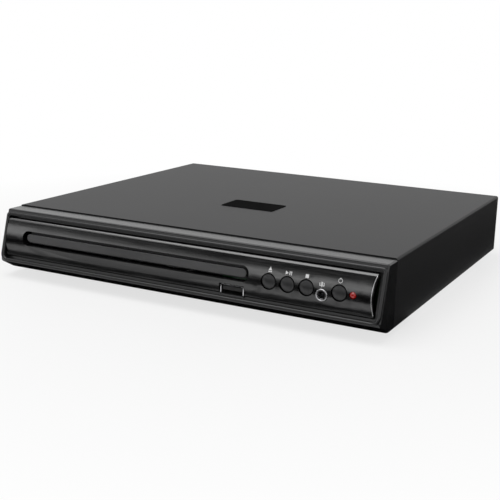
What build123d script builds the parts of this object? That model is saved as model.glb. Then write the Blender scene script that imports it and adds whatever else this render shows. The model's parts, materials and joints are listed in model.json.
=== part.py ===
from build123d import *

import os
from math import asin, atan2, cos, degrees, hypot, pi, radians, sin, tan

os.makedirs("parts", exist_ok=True)

# A small disc player with a motor tray. X runs across the front, +Y towards
# the rear and +Z up. The origin lies on the surface that the feet stand on,
# at the middle of the part's length and width. All sizes are millimetres.

# ------------------------------------------------------------ driving sizes
body_width = 225.0
body_height = 34.0
cover_depth = 186.0
foot_height = 3.5
bezel_reach = 19.5
socket_reach = 8.5

# Gaps between pieces, and fits
seat_gap = 0.3
face_gap = 0.05
shaft_gap = 0.05

# Steel sheets
cover_sheet = 0.7
base_sheet = 0.8
panel_sheet = 0.8
bend_radius = 1.2
lip_height = 9.0
base_wall_height = 12.0
front_wall_height = 4.5

# Front bezel
front_lean = radians(15.5)
strip_drop = 0.6
rim_width = 2.0
rim_round = 0.9
rim_proud = 1.2
rim_low = 6.2
rim_top_margin = 0.2
rim_inset = 0.3
rim_corner_low = 4.5
rim_corner_high = 2.0
bezel_wall = 2.0
chin_start = 9.0
pocket_depth = 4.2
ledge_width = 2.0
ledge_thickness = 1.5
top_edge_round = 1.0
tongue_thickness = 1.5
tongue_length = 5.0
tongue_inset = 8.0
side_tongue_drop = 4.0

# Fascia panel in the bezel's pocket
fascia_gap = 0.5
fascia_top_gap = 0.9
fascia_end_gap = 1.7
fascia_end_hollow = 1.4
fascia_end_chamfer = 0.4
fascia_edge_round = 1.0

# Tray slot and door in the fascia
slot_width = 141.2
slot_height = 8.0
slot_from_left = 85.0
slot_low = 15.4
slot_corner = 3.7
door_width = 137.2
door_height = 4.4
door_recess = 1.1
door_thickness = 2.5

# Keys, light and jack on the fascia, as distance from the right end and height
# above the body's bottom
key_row = 17.8
key_pitch = 9.95
eject_from_right = 58.5
power_from_right = 21.8
key_radius = 3.5
key_hole_radius = 4.1
key_dome = 0.9
key_travel = 0.6
key_flange_radius = 4.6
key_flange = 1.2
key_stem_radius = 1.5
light_from_right = 15.0
light_radius = 1.6
jack_from_right = 30.5
jack_low = 15.6
jack_ring_radius = 3.05
jack_bore_radius = 1.8
jack_bore_depth = 13.0
jack_mouth = 0.6
usb_from_right = 78.7
usb_low = 10.0
usb_inner_width = 12.3
usb_inner_height = 4.9
usb_shell = 0.3
usb_depth = 12.6
usb_margin = 0.5

# Badge plate, glued on the cover
badge_width = 33.0
badge_depth = 19.0
badge_thickness = 0.3
badge_behind_seam = 71.5
badge_x = -0.8

# Rubber feet
foot_radius = 7.0
foot_inset_x = 24.0
foot_front_inset = 22.0
foot_rear_inset = 20.0

# Loader: tray and frame
tray_width = 136.0
tray_height = 6.6
tray_rear = 76.0
tray_floor = 4.2
rail_width = 5.0
disc_y = -26.0
disc_well_radius = 60.5
disc_well_depth = 2.4
small_well_radius = 40.5
small_well_depth = 1.0
hub_hole_radius = 20.0
pickup_slot_width = 32.0
pickup_slot_reach = 66.0
frame_side_gap = 0.7
frame_wall = 2.3
frame_front_inset = 2.5
frame_rear = 79.0
frame_low = 6.3
frame_above_tray = 1.7
shelf_width = 5.5
shelf_thickness = 2.0
keeper_width = 3.0
keeper_length = 10.0
drive_plate_low = 9.6
drive_plate_thickness = 1.8
drive_plate_rear = -59.5

# Loading gears. The tray gear carries a rack wheel above and a large wheel below.
rack_module = 1.0
rack_wheel_teeth = 24
wheel_module = 0.8
wheel_teeth = 30
pinion_teeth = 10
tooth_slack = 0.14
tooth_addendum = 0.75
tooth_dedendum = 1.1
pressure_angle = radians(20.0)
drive_y = -72.0
tray_gear_dx = 30.0
gear_post_radius = 2.0
rack_bar_width = 4.0
pulley_groove_radius = 9.8
pulley_flange_radius = 11.4
motor_groove_radius = 2.5
motor_flange_radius = 4.2
pulley_height = 2.4
pulley_low = 12.2
belt_section = 1.2
motor_dx = -22.0
motor_radius = 10.0
motor_flange = 0.6
motor_low = 5.0

# Optical unit. It hangs on a pivot at the rear, and its front end rests low
# until the cam slider lifts it level.
pivot_y = 66.0
pivot_z = 13.0
seat_height = 11.6
spindle_drop = 5.3
traverse_half_width = 46.0
traverse_front = 52.0
traverse_rear = 72.0
traverse_thickness = 3.5
pivot_pin_radius = 2.0
pivot_pin_length = 8.5
sled_window_half = 31.0
sled_window_front = 13.6
sled_window_rear = 57.0
rod_radius = 1.5
rod_x = 28.0
rod_height = 0.5
lens_rest_radius = 24.0
sled_width = 42.0
sled_low = -3.5
sled_high = 4.5
sled_front = 10.0
sled_rear = 17.0
lens_radius = 2.6
lens_top = 9.6
lens_down = 0.7
sled_rack_x = 33.0
sled_rack_low = 2.6
sled_rack_high = 4.4
sled_rack_module = 0.8
sled_pinion_teeth = 12
sled_wheel_module = 0.5
sled_wheel_teeth = 36
sled_motor_teeth = 10
sled_gear_y = 24.0

# Cam slider with two sloping slots
cam_travel = 20.0
cam_pin_radius = 1.25
cam_pin_height = 3.0
cam_pin_gap = 0.15
cam_front = -57.6
cam_thickness = 2.4
cam_left = -62.5
cam_right = 33.0
cam_margin = 1.4
cam_bracket_gap = 0.1

# Disc clamp over the tray
clamp_width = 36.0
clamp_thickness = 1.5
clamp_hole_radius = 11.2
puck_hub_radius = 11.1
puck_flange_radius = 14.0
puck_low = 26.8
puck_flange = 1.4

# Circuit boards
board_thickness = 1.6
board_low = 9.0
standoff_radius = 2.6
screw_shank = 1.35
screw_head = 2.7
screw_head_height = 1.3

# ------------------------------------------------------------ derived places
rim_height = body_height - rim_low - rim_top_margin
slot_x = slot_from_left - body_width / 2
eject_x = body_width / 2 - eject_from_right
power_x = body_width / 2 - power_from_right
light_x = body_width / 2 - light_from_right
jack_x = body_width / 2 - jack_from_right
usb_x = body_width / 2 - usb_from_right
front_most = -(bezel_reach + cover_depth + socket_reach) / 2
seam_y = front_most + bezel_reach
rear_y = seam_y + cover_depth
floor_z = foot_height
top_z = floor_z + body_height
base_top = floor_z + base_sheet
panel_out = rear_y - cover_sheet
panel_in = panel_out - panel_sheet
cover_inner_half = body_width / 2 - cover_sheet
base_half = cover_inner_half - seat_gap
base_front = seam_y + seat_gap
ceiling_z = top_z - cover_sheet
screw_hole = screw_shank + shaft_gap

LOW = (Align.CENTER, Align.MIN)


def front_view(y):
    """Upright plane at depth y. Local x is X and local y is Z; it extrudes to the front."""
    return Plane(origin=(0, y, 0), x_dir=(1, 0, 0), z_dir=(0, -1, 0))


def side_view(x):
    """Upright plane at width x. Local x is Y and local y is Z; it extrudes to +X."""
    return Plane(origin=(x, 0, 0), x_dir=(0, 1, 0), z_dir=(1, 0, 0))


def top_view(z):
    """Level plane at height z. It extrudes upwards."""
    return Plane.XY.offset(z)


def span(x_low, x_high, y_low, y_high):
    """Add a rectangle between two corners to the current sketch."""
    with Locations(((x_low + x_high) / 2, (y_low + y_high) / 2)):
        Rectangle(x_high - x_low, y_high - y_low)


# ------------------------------------------------------------ front surfaces
# The rim's front lies in one plane that leans back. Its lower bead is the
# foremost point of the whole part.
rim_origin_y = front_most + rim_round * (1 - cos(front_lean))
rim_origin_z = floor_z + rim_low + rim_round * sin(front_lean)
rim_plane = Plane(
    origin=(0, rim_origin_y, rim_origin_z),
    x_dir=(1, 0, 0),
    z_dir=(0, -cos(front_lean), sin(front_lean)),
)


def rim_y(z, inset=0.0):
    """Depth of the plane that lies `inset` behind the rim's front, at height z."""
    return rim_origin_y + (z - rim_origin_z) * tan(front_lean) + inset / cos(front_lean)


rim_bottom = -rim_round
rim_top = rim_bottom + rim_height
rim_half = body_width / 2 - rim_inset
pocket_half = rim_half - rim_width
pocket_bottom = rim_bottom + rim_width
pocket_top = rim_top - rim_width


def rounded_frame(left, right, bottom, top, low_radius, high_radius):
    """Add a rectangle with its own corner radii below and above to the current sketch."""
    with BuildLine(mode=Mode.PRIVATE) as outline:
        FilletPolyline(
            (left, bottom),
            (right, bottom),
            (right, top),
            (left, top),
            radius=[low_radius, low_radius, high_radius, high_radius],
            close=True,
        )
    make_face(outline.edges())


# ------------------------------------------------------------ fasteners
def add_screw(x, y, seat_z, shank_length, head_radius=screw_head):
    """Add one cross-headed screw, standing on its seat, to the current part."""
    cross = head_radius * 0.55
    with BuildSketch(top_view(seat_z)) as head:
        with Locations((x, y)):
            Circle(head_radius)
    extrude(head.sketch, amount=screw_head_height)
    with BuildSketch(top_view(seat_z)) as shank:
        with Locations((x, y)):
            Circle(screw_shank)
    extrude(shank.sketch, amount=-shank_length)
    with BuildSketch(top_view(seat_z + screw_head_height)) as recess:
        with Locations((x, y)):
            Rectangle(2 * cross, cross / 3)
            Rectangle(cross / 3, 2 * cross)
    extrude(recess.sketch, amount=-screw_head_height / 2, mode=Mode.SUBTRACT)


# ------------------------------------------------------------ cover and base
cover_screw_xs = (-95.0, 0.0, 95.0)
cover_screw_z = top_z - 5.0

with BuildPart() as top_cover:
    with BuildSketch(front_view(seam_y)):
        with Locations((0, floor_z)):
            Rectangle(body_width, body_height, align=LOW)
    extrude(amount=-cover_depth)
    fillet(top_cover.edges().filter_by(Axis.Y).group_by(Axis.Z)[-1], bend_radius)
    with BuildSketch(front_view(seam_y)):
        with Locations((0, floor_z)):
            Rectangle(2 * cover_inner_half, body_height - cover_sheet, align=LOW)
    extrude(amount=-(cover_depth - cover_sheet), mode=Mode.SUBTRACT)
    # Below its turned-down lip the rear is open for the rear panel
    with BuildSketch(front_view(panel_out)):
        with Locations((0, floor_z)):
            Rectangle(2 * cover_inner_half, body_height - lip_height, align=LOW)
    extrude(amount=-cover_sheet, mode=Mode.SUBTRACT)
    with BuildSketch(front_view(panel_out)):
        with Locations(*[(x, cover_screw_z) for x in cover_screw_xs]):
            Circle(screw_hole)
    extrude(amount=-cover_sheet, mode=Mode.SUBTRACT)

vent_length = 16.0
vent_width = 2.0
vent_pitch_x = 20.0
vent_pitch_y = 6.0
vent_columns = 3
vent_rows = 9
vent_from_right = 34.5
vent_y = 45.0
vent_x = body_width / 2 - vent_from_right

# Where the loader's feet stand on bosses of the base
loader_x = slot_x
frame_inner_half = tray_width / 2 + frame_side_gap
frame_outer_half = frame_inner_half + frame_wall
frame_front = seam_y + frame_front_inset
loader_foot_dx = frame_outer_half - 8.0
loader_foot_ys = (frame_front + 9.0, frame_rear - 9.0)
loader_foot_radius = 4.5
loader_foot_thickness = 2.4
loader_feet = [
    (loader_x + side * loader_foot_dx, y) for side in (-1, 1) for y in loader_foot_ys
]

# Board outlines as left, right, front and rear
board_edge_gap = 3.0
board_width = 58.0
board_split_y = 12.0
board_split_gap = 5.0
rear_board_width = 77.0
rear_board_depth = 15.0
rear_board_left = slot_x - 4.5
board_right = base_half - board_edge_gap
board_left = board_right - board_width
board_rear = panel_in - 1.0
main_board_box = (board_left, board_right, seam_y + 9.5, board_split_y)
power_board_box = (board_left, board_right, board_split_y + board_split_gap, board_rear)
rear_board_box = (
    rear_board_left,
    rear_board_left + rear_board_width,
    board_rear - rear_board_depth,
    board_rear,
)
board_hole_inset = 5.0


def board_corners(box):
    """Screw places near a board's four corners."""
    left, right, front, rear = box
    return [
        (x, y)
        for x in (left + board_hole_inset, right - board_hole_inset)
        for y in (front + board_hole_inset, rear - board_hole_inset)
    ]


rear_board_holes = [
    (rear_board_box[0] + 4.0, rear_board_box[2] + 4.0),
    (rear_board_box[1] - 4.0, rear_board_box[2] + 4.0),
]
board_holes = board_corners(main_board_box) + board_corners(power_board_box) + rear_board_holes

with BuildPart() as chassis_base:
    with BuildSketch(top_view(floor_z)):
        span(-base_half, base_half, base_front, panel_out)
    extrude(amount=base_sheet)
    # Side walls folded up, and a low wall along the front
    with BuildSketch(top_view(base_top)):
        for side in (-1, 1):
            inner = side * (base_half - base_sheet)
            outer = side * base_half
            span(min(inner, outer), max(inner, outer), base_front, panel_in - seat_gap)
    extrude(amount=base_wall_height)
    with BuildSketch(top_view(base_top)):
        span(-base_half, base_half, base_front, base_front + base_sheet)
    extrude(amount=front_wall_height)
    # Bosses for the loader and stand-offs for the boards
    with BuildSketch(top_view(base_top)):
        with Locations(*loader_feet):
            Circle(loader_foot_radius)
    extrude(amount=frame_low - base_top)
    with BuildSketch(top_view(base_top)):
        with Locations(*board_holes):
            Circle(standoff_radius)
    extrude(amount=board_low - base_top)
    with BuildSketch(top_view(base_top)):
        with Locations(*loader_feet, *board_holes):
            Circle(screw_hole)
    extrude(amount=board_low, mode=Mode.SUBTRACT)
    # Rows of vents under the power board
    with BuildSketch(top_view(floor_z)):
        with Locations((vent_x, vent_y)):
            with GridLocations(vent_pitch_x, vent_pitch_y, vent_columns, vent_rows):
                SlotOverall(vent_length, vent_width)
    extrude(amount=base_sheet, mode=Mode.SUBTRACT)

with BuildPart() as rubber_feet:
    foot_x = body_width / 2 - foot_inset_x
    foot_spots = [
        (side * foot_x, y)
        for side in (-1, 1)
        for y in (seam_y + foot_front_inset, rear_y - foot_rear_inset)
    ]
    with BuildSketch(top_view(0)):
        with Locations(*foot_spots):
            Circle(foot_radius)
    extrude(amount=foot_height)
    fillet(rubber_feet.faces().sort_by(Axis.Z)[:4].edges(), foot_height / 5)

with BuildPart() as badge_plate:
    with BuildSketch(top_view(top_z)):
        with Locations((badge_x, seam_y + badge_behind_seam)):
            RectangleRounded(badge_width, badge_depth, bend_radius)
    extrude(amount=badge_thickness)

# ------------------------------------------------------------ bezel
strip_z = top_z - strip_drop
body_front_inset = rim_proud
chin_z = floor_z + rim_low - rim_round
hollow_inset = pocket_depth + ledge_thickness
hollow_low = floor_z + bezel_wall
hollow_high = strip_z - bezel_wall
hollow_corner_z = floor_z + rim_low + bezel_wall
window_half = pocket_half - ledge_width
window_bottom = pocket_bottom + ledge_width
window_top = pocket_top - ledge_width

slot_z = floor_z + slot_low + slot_height / 2
usb_z = floor_z + usb_low
usb_outer_width = usb_inner_width + 2 * usb_shell
usb_outer_height = usb_inner_height + 2 * usb_shell
key_z = floor_z + key_row
jack_z = floor_z + jack_low
key_board_front = seam_y - 3.0
key_board_left = usb_x - 12.5
key_board_right = body_width / 2 - 4.5
key_board_low = floor_z + 4.0
key_board_high = hollow_high - tongue_thickness - seat_gap
key_board_step_x = eject_x - 7.5
key_board_step_z = slot_z - slot_height / 2 - 1.2

# Posts inside the bezel that carry the key board, with their lengths
key_post_radius = 2.6
key_posts_low = [(key_board_left + 3.0, floor_z + 6.8), (key_board_right - 3.2, floor_z + 6.8)]
key_post_high_z = key_board_high - 3.1
key_posts_high = [(key_board_right - 3.2, key_post_high_z)]
key_screw_length = 4.0

with BuildPart() as front_bezel:
    # Side profile: flat strip on top, leaning front and a chin that runs back below
    with BuildSketch(side_view(-body_width / 2)):
        with BuildLine():
            Polyline(
                (seam_y, floor_z),
                (seam_y - chin_start, floor_z),
                (rim_y(chin_z, body_front_inset), chin_z),
                (rim_y(strip_z, body_front_inset), strip_z),
                (seam_y, strip_z),
                close=True,
            )
        make_face()
    extrude(amount=body_width)
    front_edges = front_bezel.edges().filter_by(Axis.X).group_by(Axis.Y)
    fillet(front_edges[0], rim_low / 3)
    fillet(front_bezel.edges().filter_by(Axis.X).group_by(Axis.Z)[-1].sort_by(Axis.Y)[0], top_edge_round)
    end_faces = front_bezel.faces().filter_by(Axis.X)
    fillet(
        end_faces.edges().filter_by(lambda e: e.center().Y < seam_y - 1.0 and e.center().Z > floor_z + 0.1),
        top_edge_round,
    )
    # The raised rim
    with BuildSketch(rim_plane):
        rounded_frame(-rim_half, rim_half, rim_bottom, rim_top, rim_corner_low, rim_corner_high)
    extrude(amount=-(rim_proud + bezel_wall / 2))
    # Its pocket for the fascia, and the window behind with a ledge all round
    with BuildSketch(rim_plane):
        rounded_frame(
            -pocket_half,
            pocket_half,
            pocket_bottom,
            pocket_top,
            rim_corner_low - rim_width,
            rim_width / 2,
        )
    extrude(amount=-pocket_depth, mode=Mode.SUBTRACT)
    bead_edges = front_bezel.faces().filter_by(
        lambda f: abs(f.normal_at().dot(rim_plane.z_dir) - 1) < 1e-4
        and abs(rim_plane.to_local_coords(f.center()).Z) < 1e-3
    )
    fillet(bead_edges.edges(), rim_round)
    # The hollow behind, open to the cabinet
    with BuildSketch(side_view(-(body_width / 2 - bezel_wall))):
        with BuildLine():
            Polyline(
                (seam_y, hollow_low),
                (seam_y - chin_start, hollow_low),
                (rim_y(hollow_corner_z, hollow_inset), hollow_corner_z),
                (rim_y(hollow_high, hollow_inset), hollow_high),
                (seam_y, hollow_high),
                close=True,
            )
        make_face()
    extrude(amount=body_width - 2 * bezel_wall, mode=Mode.SUBTRACT)
    with BuildSketch(rim_plane):
        span(-window_half, window_half, window_bottom, window_top)
    extrude(amount=-2 * hollow_inset, mode=Mode.SUBTRACT)
    # Way for the USB socket
    with BuildSketch(front_view(rim_y(usb_z, rim_proud + bezel_wall))):
        with Locations((usb_x, usb_z)):
            Rectangle(usb_outer_width + 2 * usb_margin, usb_outer_height + 2 * seat_gap)
    extrude(amount=-bezel_reach / 2, mode=Mode.SUBTRACT)
    # Tongues that slide under the cover
    tongue_z = ceiling_z - seat_gap
    tongue_half = body_width / 2 - tongue_inset
    with BuildSketch(front_view(seam_y)):
        span(-tongue_half, tongue_half, tongue_z - tongue_thickness, tongue_z)
    extrude(amount=-tongue_length)
    with BuildSketch(front_view(seam_y)):
        span(
            -tongue_half,
            tongue_half,
            hollow_high - tongue_thickness,
            tongue_z,
        )
    extrude(amount=tongue_length / 2)
    with BuildSketch(front_view(seam_y)):
        for side in (-1, 1):
            outer = side * (cover_inner_half - seat_gap)
            inner = side * (cover_inner_half - seat_gap - tongue_thickness)
            span(
                min(inner, outer),
                max(inner, outer),
                base_top + base_wall_height + seat_gap,
                ceiling_z - side_tongue_drop,
            )
    extrude(amount=-tongue_length)
    # Posts for the key board
    with BuildSketch(front_view(key_board_front)):
        with Locations(*key_posts_low):
            Circle(key_post_radius)
    extrude(amount=key_board_front - rim_y(floor_z + rim_low, pocket_depth + bezel_wall))
    with BuildSketch(front_view(key_board_front)):
        with Locations(*key_posts_high):
            Circle(key_post_radius)
    extrude(amount=key_board_front - rim_y(key_post_high_z, pocket_depth + 1.0))
    with BuildSketch(front_view(key_board_front)):
        with Locations(*key_posts_low, *key_posts_high):
            Circle(screw_hole)
    extrude(amount=key_screw_length, mode=Mode.SUBTRACT)

# ------------------------------------------------------------ fascia
fascia_left = -(pocket_half - fascia_gap)
fascia_right = pocket_half - fascia_end_gap
fascia_bottom = pocket_bottom + fascia_gap
fascia_top = pocket_top - fascia_top_gap


def on_slope(v):
    """Depth and height of the point that lies v up the rim's plane."""
    return (rim_origin_y + v * sin(front_lean), rim_origin_z + v * cos(front_lean))


fascia_low_z = on_slope(fascia_bottom)[1]
fascia_high_z = on_slope(fascia_top)[1]
crest_z = fascia_high_z - 1.6
crest_back = 1.0
crest_drop = 0.45
belly_z = floor_z + 15.5
waist_z = floor_z + 11.5
foot_z = fascia_low_z + 0.8
crest_proud = -0.2
belly_proud = -0.4
shoulder_z = floor_z + 22.0
shoulder_proud = 0.35
waist_proud = -1.7
foot_proud = -2.1


def fascia_y(z, proud):
    """Depth of a fascia point that stands `proud` of the rim's plane."""
    return rim_y(z, -proud)


with BuildPart() as fascia_panel:
    with BuildSketch(side_view(fascia_left)):
        with BuildLine():
            Spline(
                (fascia_y(foot_z, foot_proud), foot_z),
                (fascia_y(waist_z, waist_proud), waist_z),
                (fascia_y(belly_z, belly_proud), belly_z),
                (fascia_y(shoulder_z, shoulder_proud), shoulder_z),
                (fascia_y(crest_z, crest_proud), crest_z),
            )
            crest_end = (rim_y(fascia_high_z, pocket_depth / 2), fascia_high_z)
            ThreePointArc(
                (fascia_y(crest_z, crest_proud), crest_z),
                (fascia_y(fascia_high_z, 0) + crest_back, fascia_high_z - crest_drop),
                crest_end,
            )
            Polyline(
                crest_end,
                (rim_y(fascia_high_z, pocket_depth), fascia_high_z),
                (rim_y(fascia_low_z, pocket_depth), fascia_low_z),
                (rim_y(fascia_low_z, pocket_depth / 2 + 1.0), fascia_low_z),
                (fascia_y(foot_z, foot_proud), foot_z),
            )
        make_face()
    extrude(amount=fascia_right - fascia_left)
    # Corners as seen from the front
    with BuildSketch(rim_plane.offset(bezel_wall)):
        rounded_frame(
            fascia_left,
            fascia_right,
            fascia_bottom - 0.5,
            fascia_top + 0.5,
            rim_corner_low - rim_width,
            fascia_edge_round,
        )
    extrude(amount=-(pocket_depth + 2 * bezel_wall), mode=Mode.INTERSECT)
    # Hollow right end with a bright chamfer on its front edge
    with BuildSketch(rim_plane.offset(bezel_wall)):
        with BuildLine():
            ThreePointArc(
                (fascia_right, fascia_bottom - 1.0),
                (fascia_right - fascia_end_hollow, (fascia_bottom + fascia_top) / 2),
                (fascia_right, fascia_top + 1.0),
            )
            Line((fascia_right, fascia_top + 1.0), (fascia_right, fascia_bottom - 1.0))
        make_face()
    extrude(amount=-(pocket_depth + 2 * bezel_wall), mode=Mode.SUBTRACT)
    end_face = fascia_panel.faces(Select.LAST).sort_by(SortBy.AREA)[-1]
    chamfer(end_face.edges().sort_by(Axis.Y)[0], fascia_end_chamfer)
    # Tray slot with a rounded lip
    slot_front = front_most - bezel_wall
    slot_cut = bezel_reach
    with BuildSketch(front_view(slot_front)):
        with Locations((slot_x, slot_z)):
            RectangleRounded(slot_width, slot_height, slot_corner)
    extrude(amount=-slot_cut, mode=Mode.SUBTRACT)
    # Holes for keys, jack and light
    key_xs = [eject_x, eject_x + key_pitch, eject_x + 2 * key_pitch, power_x]
    with BuildSketch(front_view(slot_front)):
        with Locations(*[(x, key_z) for x in key_xs]):
            Circle(key_hole_radius)
        with Locations((jack_x, jack_z)):
            Circle(jack_ring_radius + seat_gap / 2)
        with Locations((light_x, key_z)):
            Circle(light_radius + seat_gap / 2)
        span(
            usb_x - usb_outer_width / 2 - usb_margin,
            usb_x + usb_outer_width / 2 + usb_margin,
            floor_z,
            usb_z + usb_outer_height / 2 + usb_margin,
        )
    extrude(amount=-slot_cut, mode=Mode.SUBTRACT)

# ------------------------------------------------------------ keys and their board
key_names = ["eject_button", "play_button", "stop_button", "power_button"]
fascia_key_y = fascia_y(key_z, belly_proud)
key_shoulder_y = fascia_key_y - 0.2
key_flange_y = rim_y(key_z + key_flange_radius, pocket_depth) + seat_gap
switch_body = 6.0
switch_depth = 3.5
switch_front = key_board_front - switch_depth
stem_in_switch = 1.2
stem_end = switch_front + stem_in_switch


def push_button(x):
    """A domed cap with a flange behind the fascia and a stem that ends in its switch."""
    with BuildPart() as button:
        with BuildSketch(side_view(x)):
            with BuildLine():
                apex = (key_shoulder_y - key_dome, key_z)
                shoulder = (key_shoulder_y, key_z + key_radius)
                dome_mid = (
                    key_shoulder_y - key_dome * 0.77,
                    key_z + key_radius * 0.5,
                )
                ThreePointArc(apex, dome_mid, shoulder)
                Polyline(
                    shoulder,
                    (key_flange_y, key_z + key_radius),
                    (key_flange_y, key_z + key_flange_radius),
                    (key_flange_y + key_flange, key_z + key_flange_radius),
                    (key_flange_y + key_flange, key_z + key_stem_radius),
                    (stem_end, key_z + key_stem_radius),
                    (stem_end, key_z),
                    apex,
                )
            make_face()
        revolve(axis=Axis((x, 0, key_z), (0, 1, 0)))
    return button


buttons = {name: push_button(x) for name, x in zip(key_names, key_xs)}

with BuildPart() as tact_switches:
    with BuildSketch(front_view(key_board_front)):
        with Locations(*[(x, key_z) for x in key_xs]):
            RectangleRounded(switch_body, switch_body, bend_radius / 2)
    extrude(amount=switch_depth)
    with BuildSketch(front_view(switch_front)):
        with Locations(*[(x, key_z) for x in key_xs]):
            Circle(key_stem_radius + shaft_gap)
    extrude(amount=-(stem_in_switch + key_travel + seat_gap), mode=Mode.SUBTRACT)

with BuildPart() as key_board:
    with BuildSketch(front_view(key_board_front)):
        span(key_board_left, key_board_right, key_board_low, key_board_step_z)
        span(key_board_step_x, key_board_right, key_board_step_z, key_board_high)
        with Locations(*key_posts_low, *key_posts_high):
            Circle(screw_hole, mode=Mode.SUBTRACT)
    extrude(amount=-board_thickness)

with BuildPart() as key_board_screws:
    with BuildSketch(front_view(key_board_front + board_thickness)):
        with Locations(*key_posts_low, *key_posts_high):
            Circle(screw_head)
    extrude(amount=-screw_head_height)
    with BuildSketch(front_view(key_board_front + board_thickness)):
        with Locations(*key_posts_low, *key_posts_high):
            Circle(screw_shank)
    extrude(amount=board_thickness + key_screw_length - seat_gap)

light_front = fascia_key_y - 0.9
light_back = rim_y(key_z, pocket_depth) + 2.0
light_lead = 0.3
lead_pitch = 1.27
light_shoulder = 0.4
light_shoulder_depth = 1.0

with BuildPart() as power_light:
    with BuildSketch(front_view(light_front)):
        with Locations((light_x, key_z)):
            Circle(light_radius)
    extrude(amount=light_front - light_back)
    fillet(power_light.faces().sort_by(Axis.Y)[0].edges(), light_radius * 0.85)
    with BuildSketch(front_view(light_back)):
        with Locations((light_x, key_z)):
            Circle(light_radius + light_shoulder)
    extrude(amount=-light_shoulder_depth)
    with BuildSketch(front_view(light_back + light_shoulder_depth)):
        with Locations((light_x, key_z)):
            with GridLocations(lead_pitch, 1, 2, 1):
                Circle(light_lead)
    extrude(amount=light_back + light_shoulder_depth - key_board_front)

jack_front = fascia_y(jack_z, belly_proud) - 0.6
jack_ring_depth = 1.4
jack_barrel_radius = 2.6
jack_body_width = 6.2
jack_body_front = key_board_front - 7.0

with BuildPart() as microphone_jack:
    with BuildSketch(front_view(jack_front)):
        with Locations((jack_x, jack_z)):
            Circle(jack_ring_radius)
    extrude(amount=-jack_ring_depth)
    fillet(microphone_jack.faces().sort_by(Axis.Y)[0].edges(), jack_ring_depth / 3)
    with BuildSketch(front_view(jack_front + jack_ring_depth)):
        with Locations((jack_x, jack_z)):
            Circle(jack_barrel_radius)
    extrude(amount=jack_front + jack_ring_depth - jack_body_front)
    with BuildSketch(front_view(jack_body_front)):
        with Locations((jack_x, jack_z)):
            Rectangle(jack_body_width, jack_body_width)
    extrude(amount=jack_body_front - key_board_front)
    with BuildSketch(front_view(jack_front)):
        with Locations((jack_x, jack_z)):
            Circle(jack_bore_radius)
    extrude(amount=-jack_bore_depth, mode=Mode.SUBTRACT)
    mouth = microphone_jack.faces().sort_by(Axis.Y)[0].edges().sort_by(SortBy.RADIUS)[0]
    chamfer(mouth, jack_mouth)

usb_front = key_board_front - usb_depth
usb_tongue_width = 10.6
usb_tongue_height = 1.8
usb_tongue_drop = 0.75
usb_back_wall = 1.5

with BuildPart() as usb_socket:
    with BuildSketch(front_view(usb_front)):
        with Locations((usb_x, usb_z)):
            RectangleRounded(usb_outer_width, usb_outer_height, 2 * usb_shell)
            Rectangle(usb_inner_width, usb_inner_height, mode=Mode.SUBTRACT)
    extrude(amount=-usb_depth)
    with BuildSketch(front_view(key_board_front)):
        with Locations((usb_x, usb_z)):
            Rectangle(usb_inner_width, usb_inner_height)
    extrude(amount=usb_back_wall)
    with BuildSketch(front_view(key_board_front)):
        with Locations((usb_x, usb_z + usb_inner_height / 2 - usb_tongue_height / 2 - usb_tongue_drop)):
            Rectangle(usb_tongue_width, usb_tongue_height)
    extrude(amount=usb_depth - 1.0)

# ------------------------------------------------------------ disc tray and door
tray_low = slot_z - tray_height / 2
tray_high = tray_low + tray_height
tray_floor_low = tray_high - tray_floor
door_front = rim_y(slot_z, door_recess)
door_back = door_front + door_thickness
tray_front = door_back
tray_left = loader_x - tray_width / 2
tray_right = loader_x + tray_width / 2
tray_gear_x = loader_x + tray_gear_dx
rack_wheel_radius = rack_module * rack_wheel_teeth / 2
rack_line_x = tray_gear_x + rack_wheel_radius
rack_root_x = rack_line_x + tooth_dedendum * rack_module
tray_front_wall = 3.0
finger_notch_radius = 11.0


def tooth_outline(module, pitch_x):
    """Corners of one tooth that points to +X and meets its mate at pitch_x."""
    half_pitch = pi * module / 4 - tooth_slack * module
    half_root = half_pitch + tooth_dedendum * module * tan(pressure_angle)
    half_tip = half_pitch - tooth_addendum * module * tan(pressure_angle)
    root_x = pitch_x - (tooth_dedendum + 0.2) * module
    tip_x = pitch_x + tooth_addendum * module
    return [(root_x, -half_root), (tip_x, -half_tip), (tip_x, half_tip), (root_x, half_root)]


def toothed_wheel(teeth, module, phase):
    """Add a spur wheel to the current sketch, with one tooth's middle at angle `phase`."""
    pitch_radius = module * teeth / 2
    Circle(pitch_radius - tooth_dedendum * module)
    with PolarLocations(0, teeth, start_angle=phase):
        Polygon(*tooth_outline(module, pitch_radius), align=None)


def toothed_rack(pitch_x, first_y, last_y, gap_y, module, facing):
    """Add rack teeth along Y to the current sketch; gap_y is the middle of one gap."""
    pitch = pi * module
    count = int((last_y - first_y) / pitch)
    lowest = gap_y + pitch / 2 - pitch * int((gap_y - first_y) / pitch)
    corners = [(facing * x, y) for x, y in tooth_outline(module, 0)]
    if facing < 0:
        corners.reverse()
    with Locations(*[(pitch_x, lowest + i * pitch) for i in range(count)]):
        Polygon(*corners, align=None)


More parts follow.
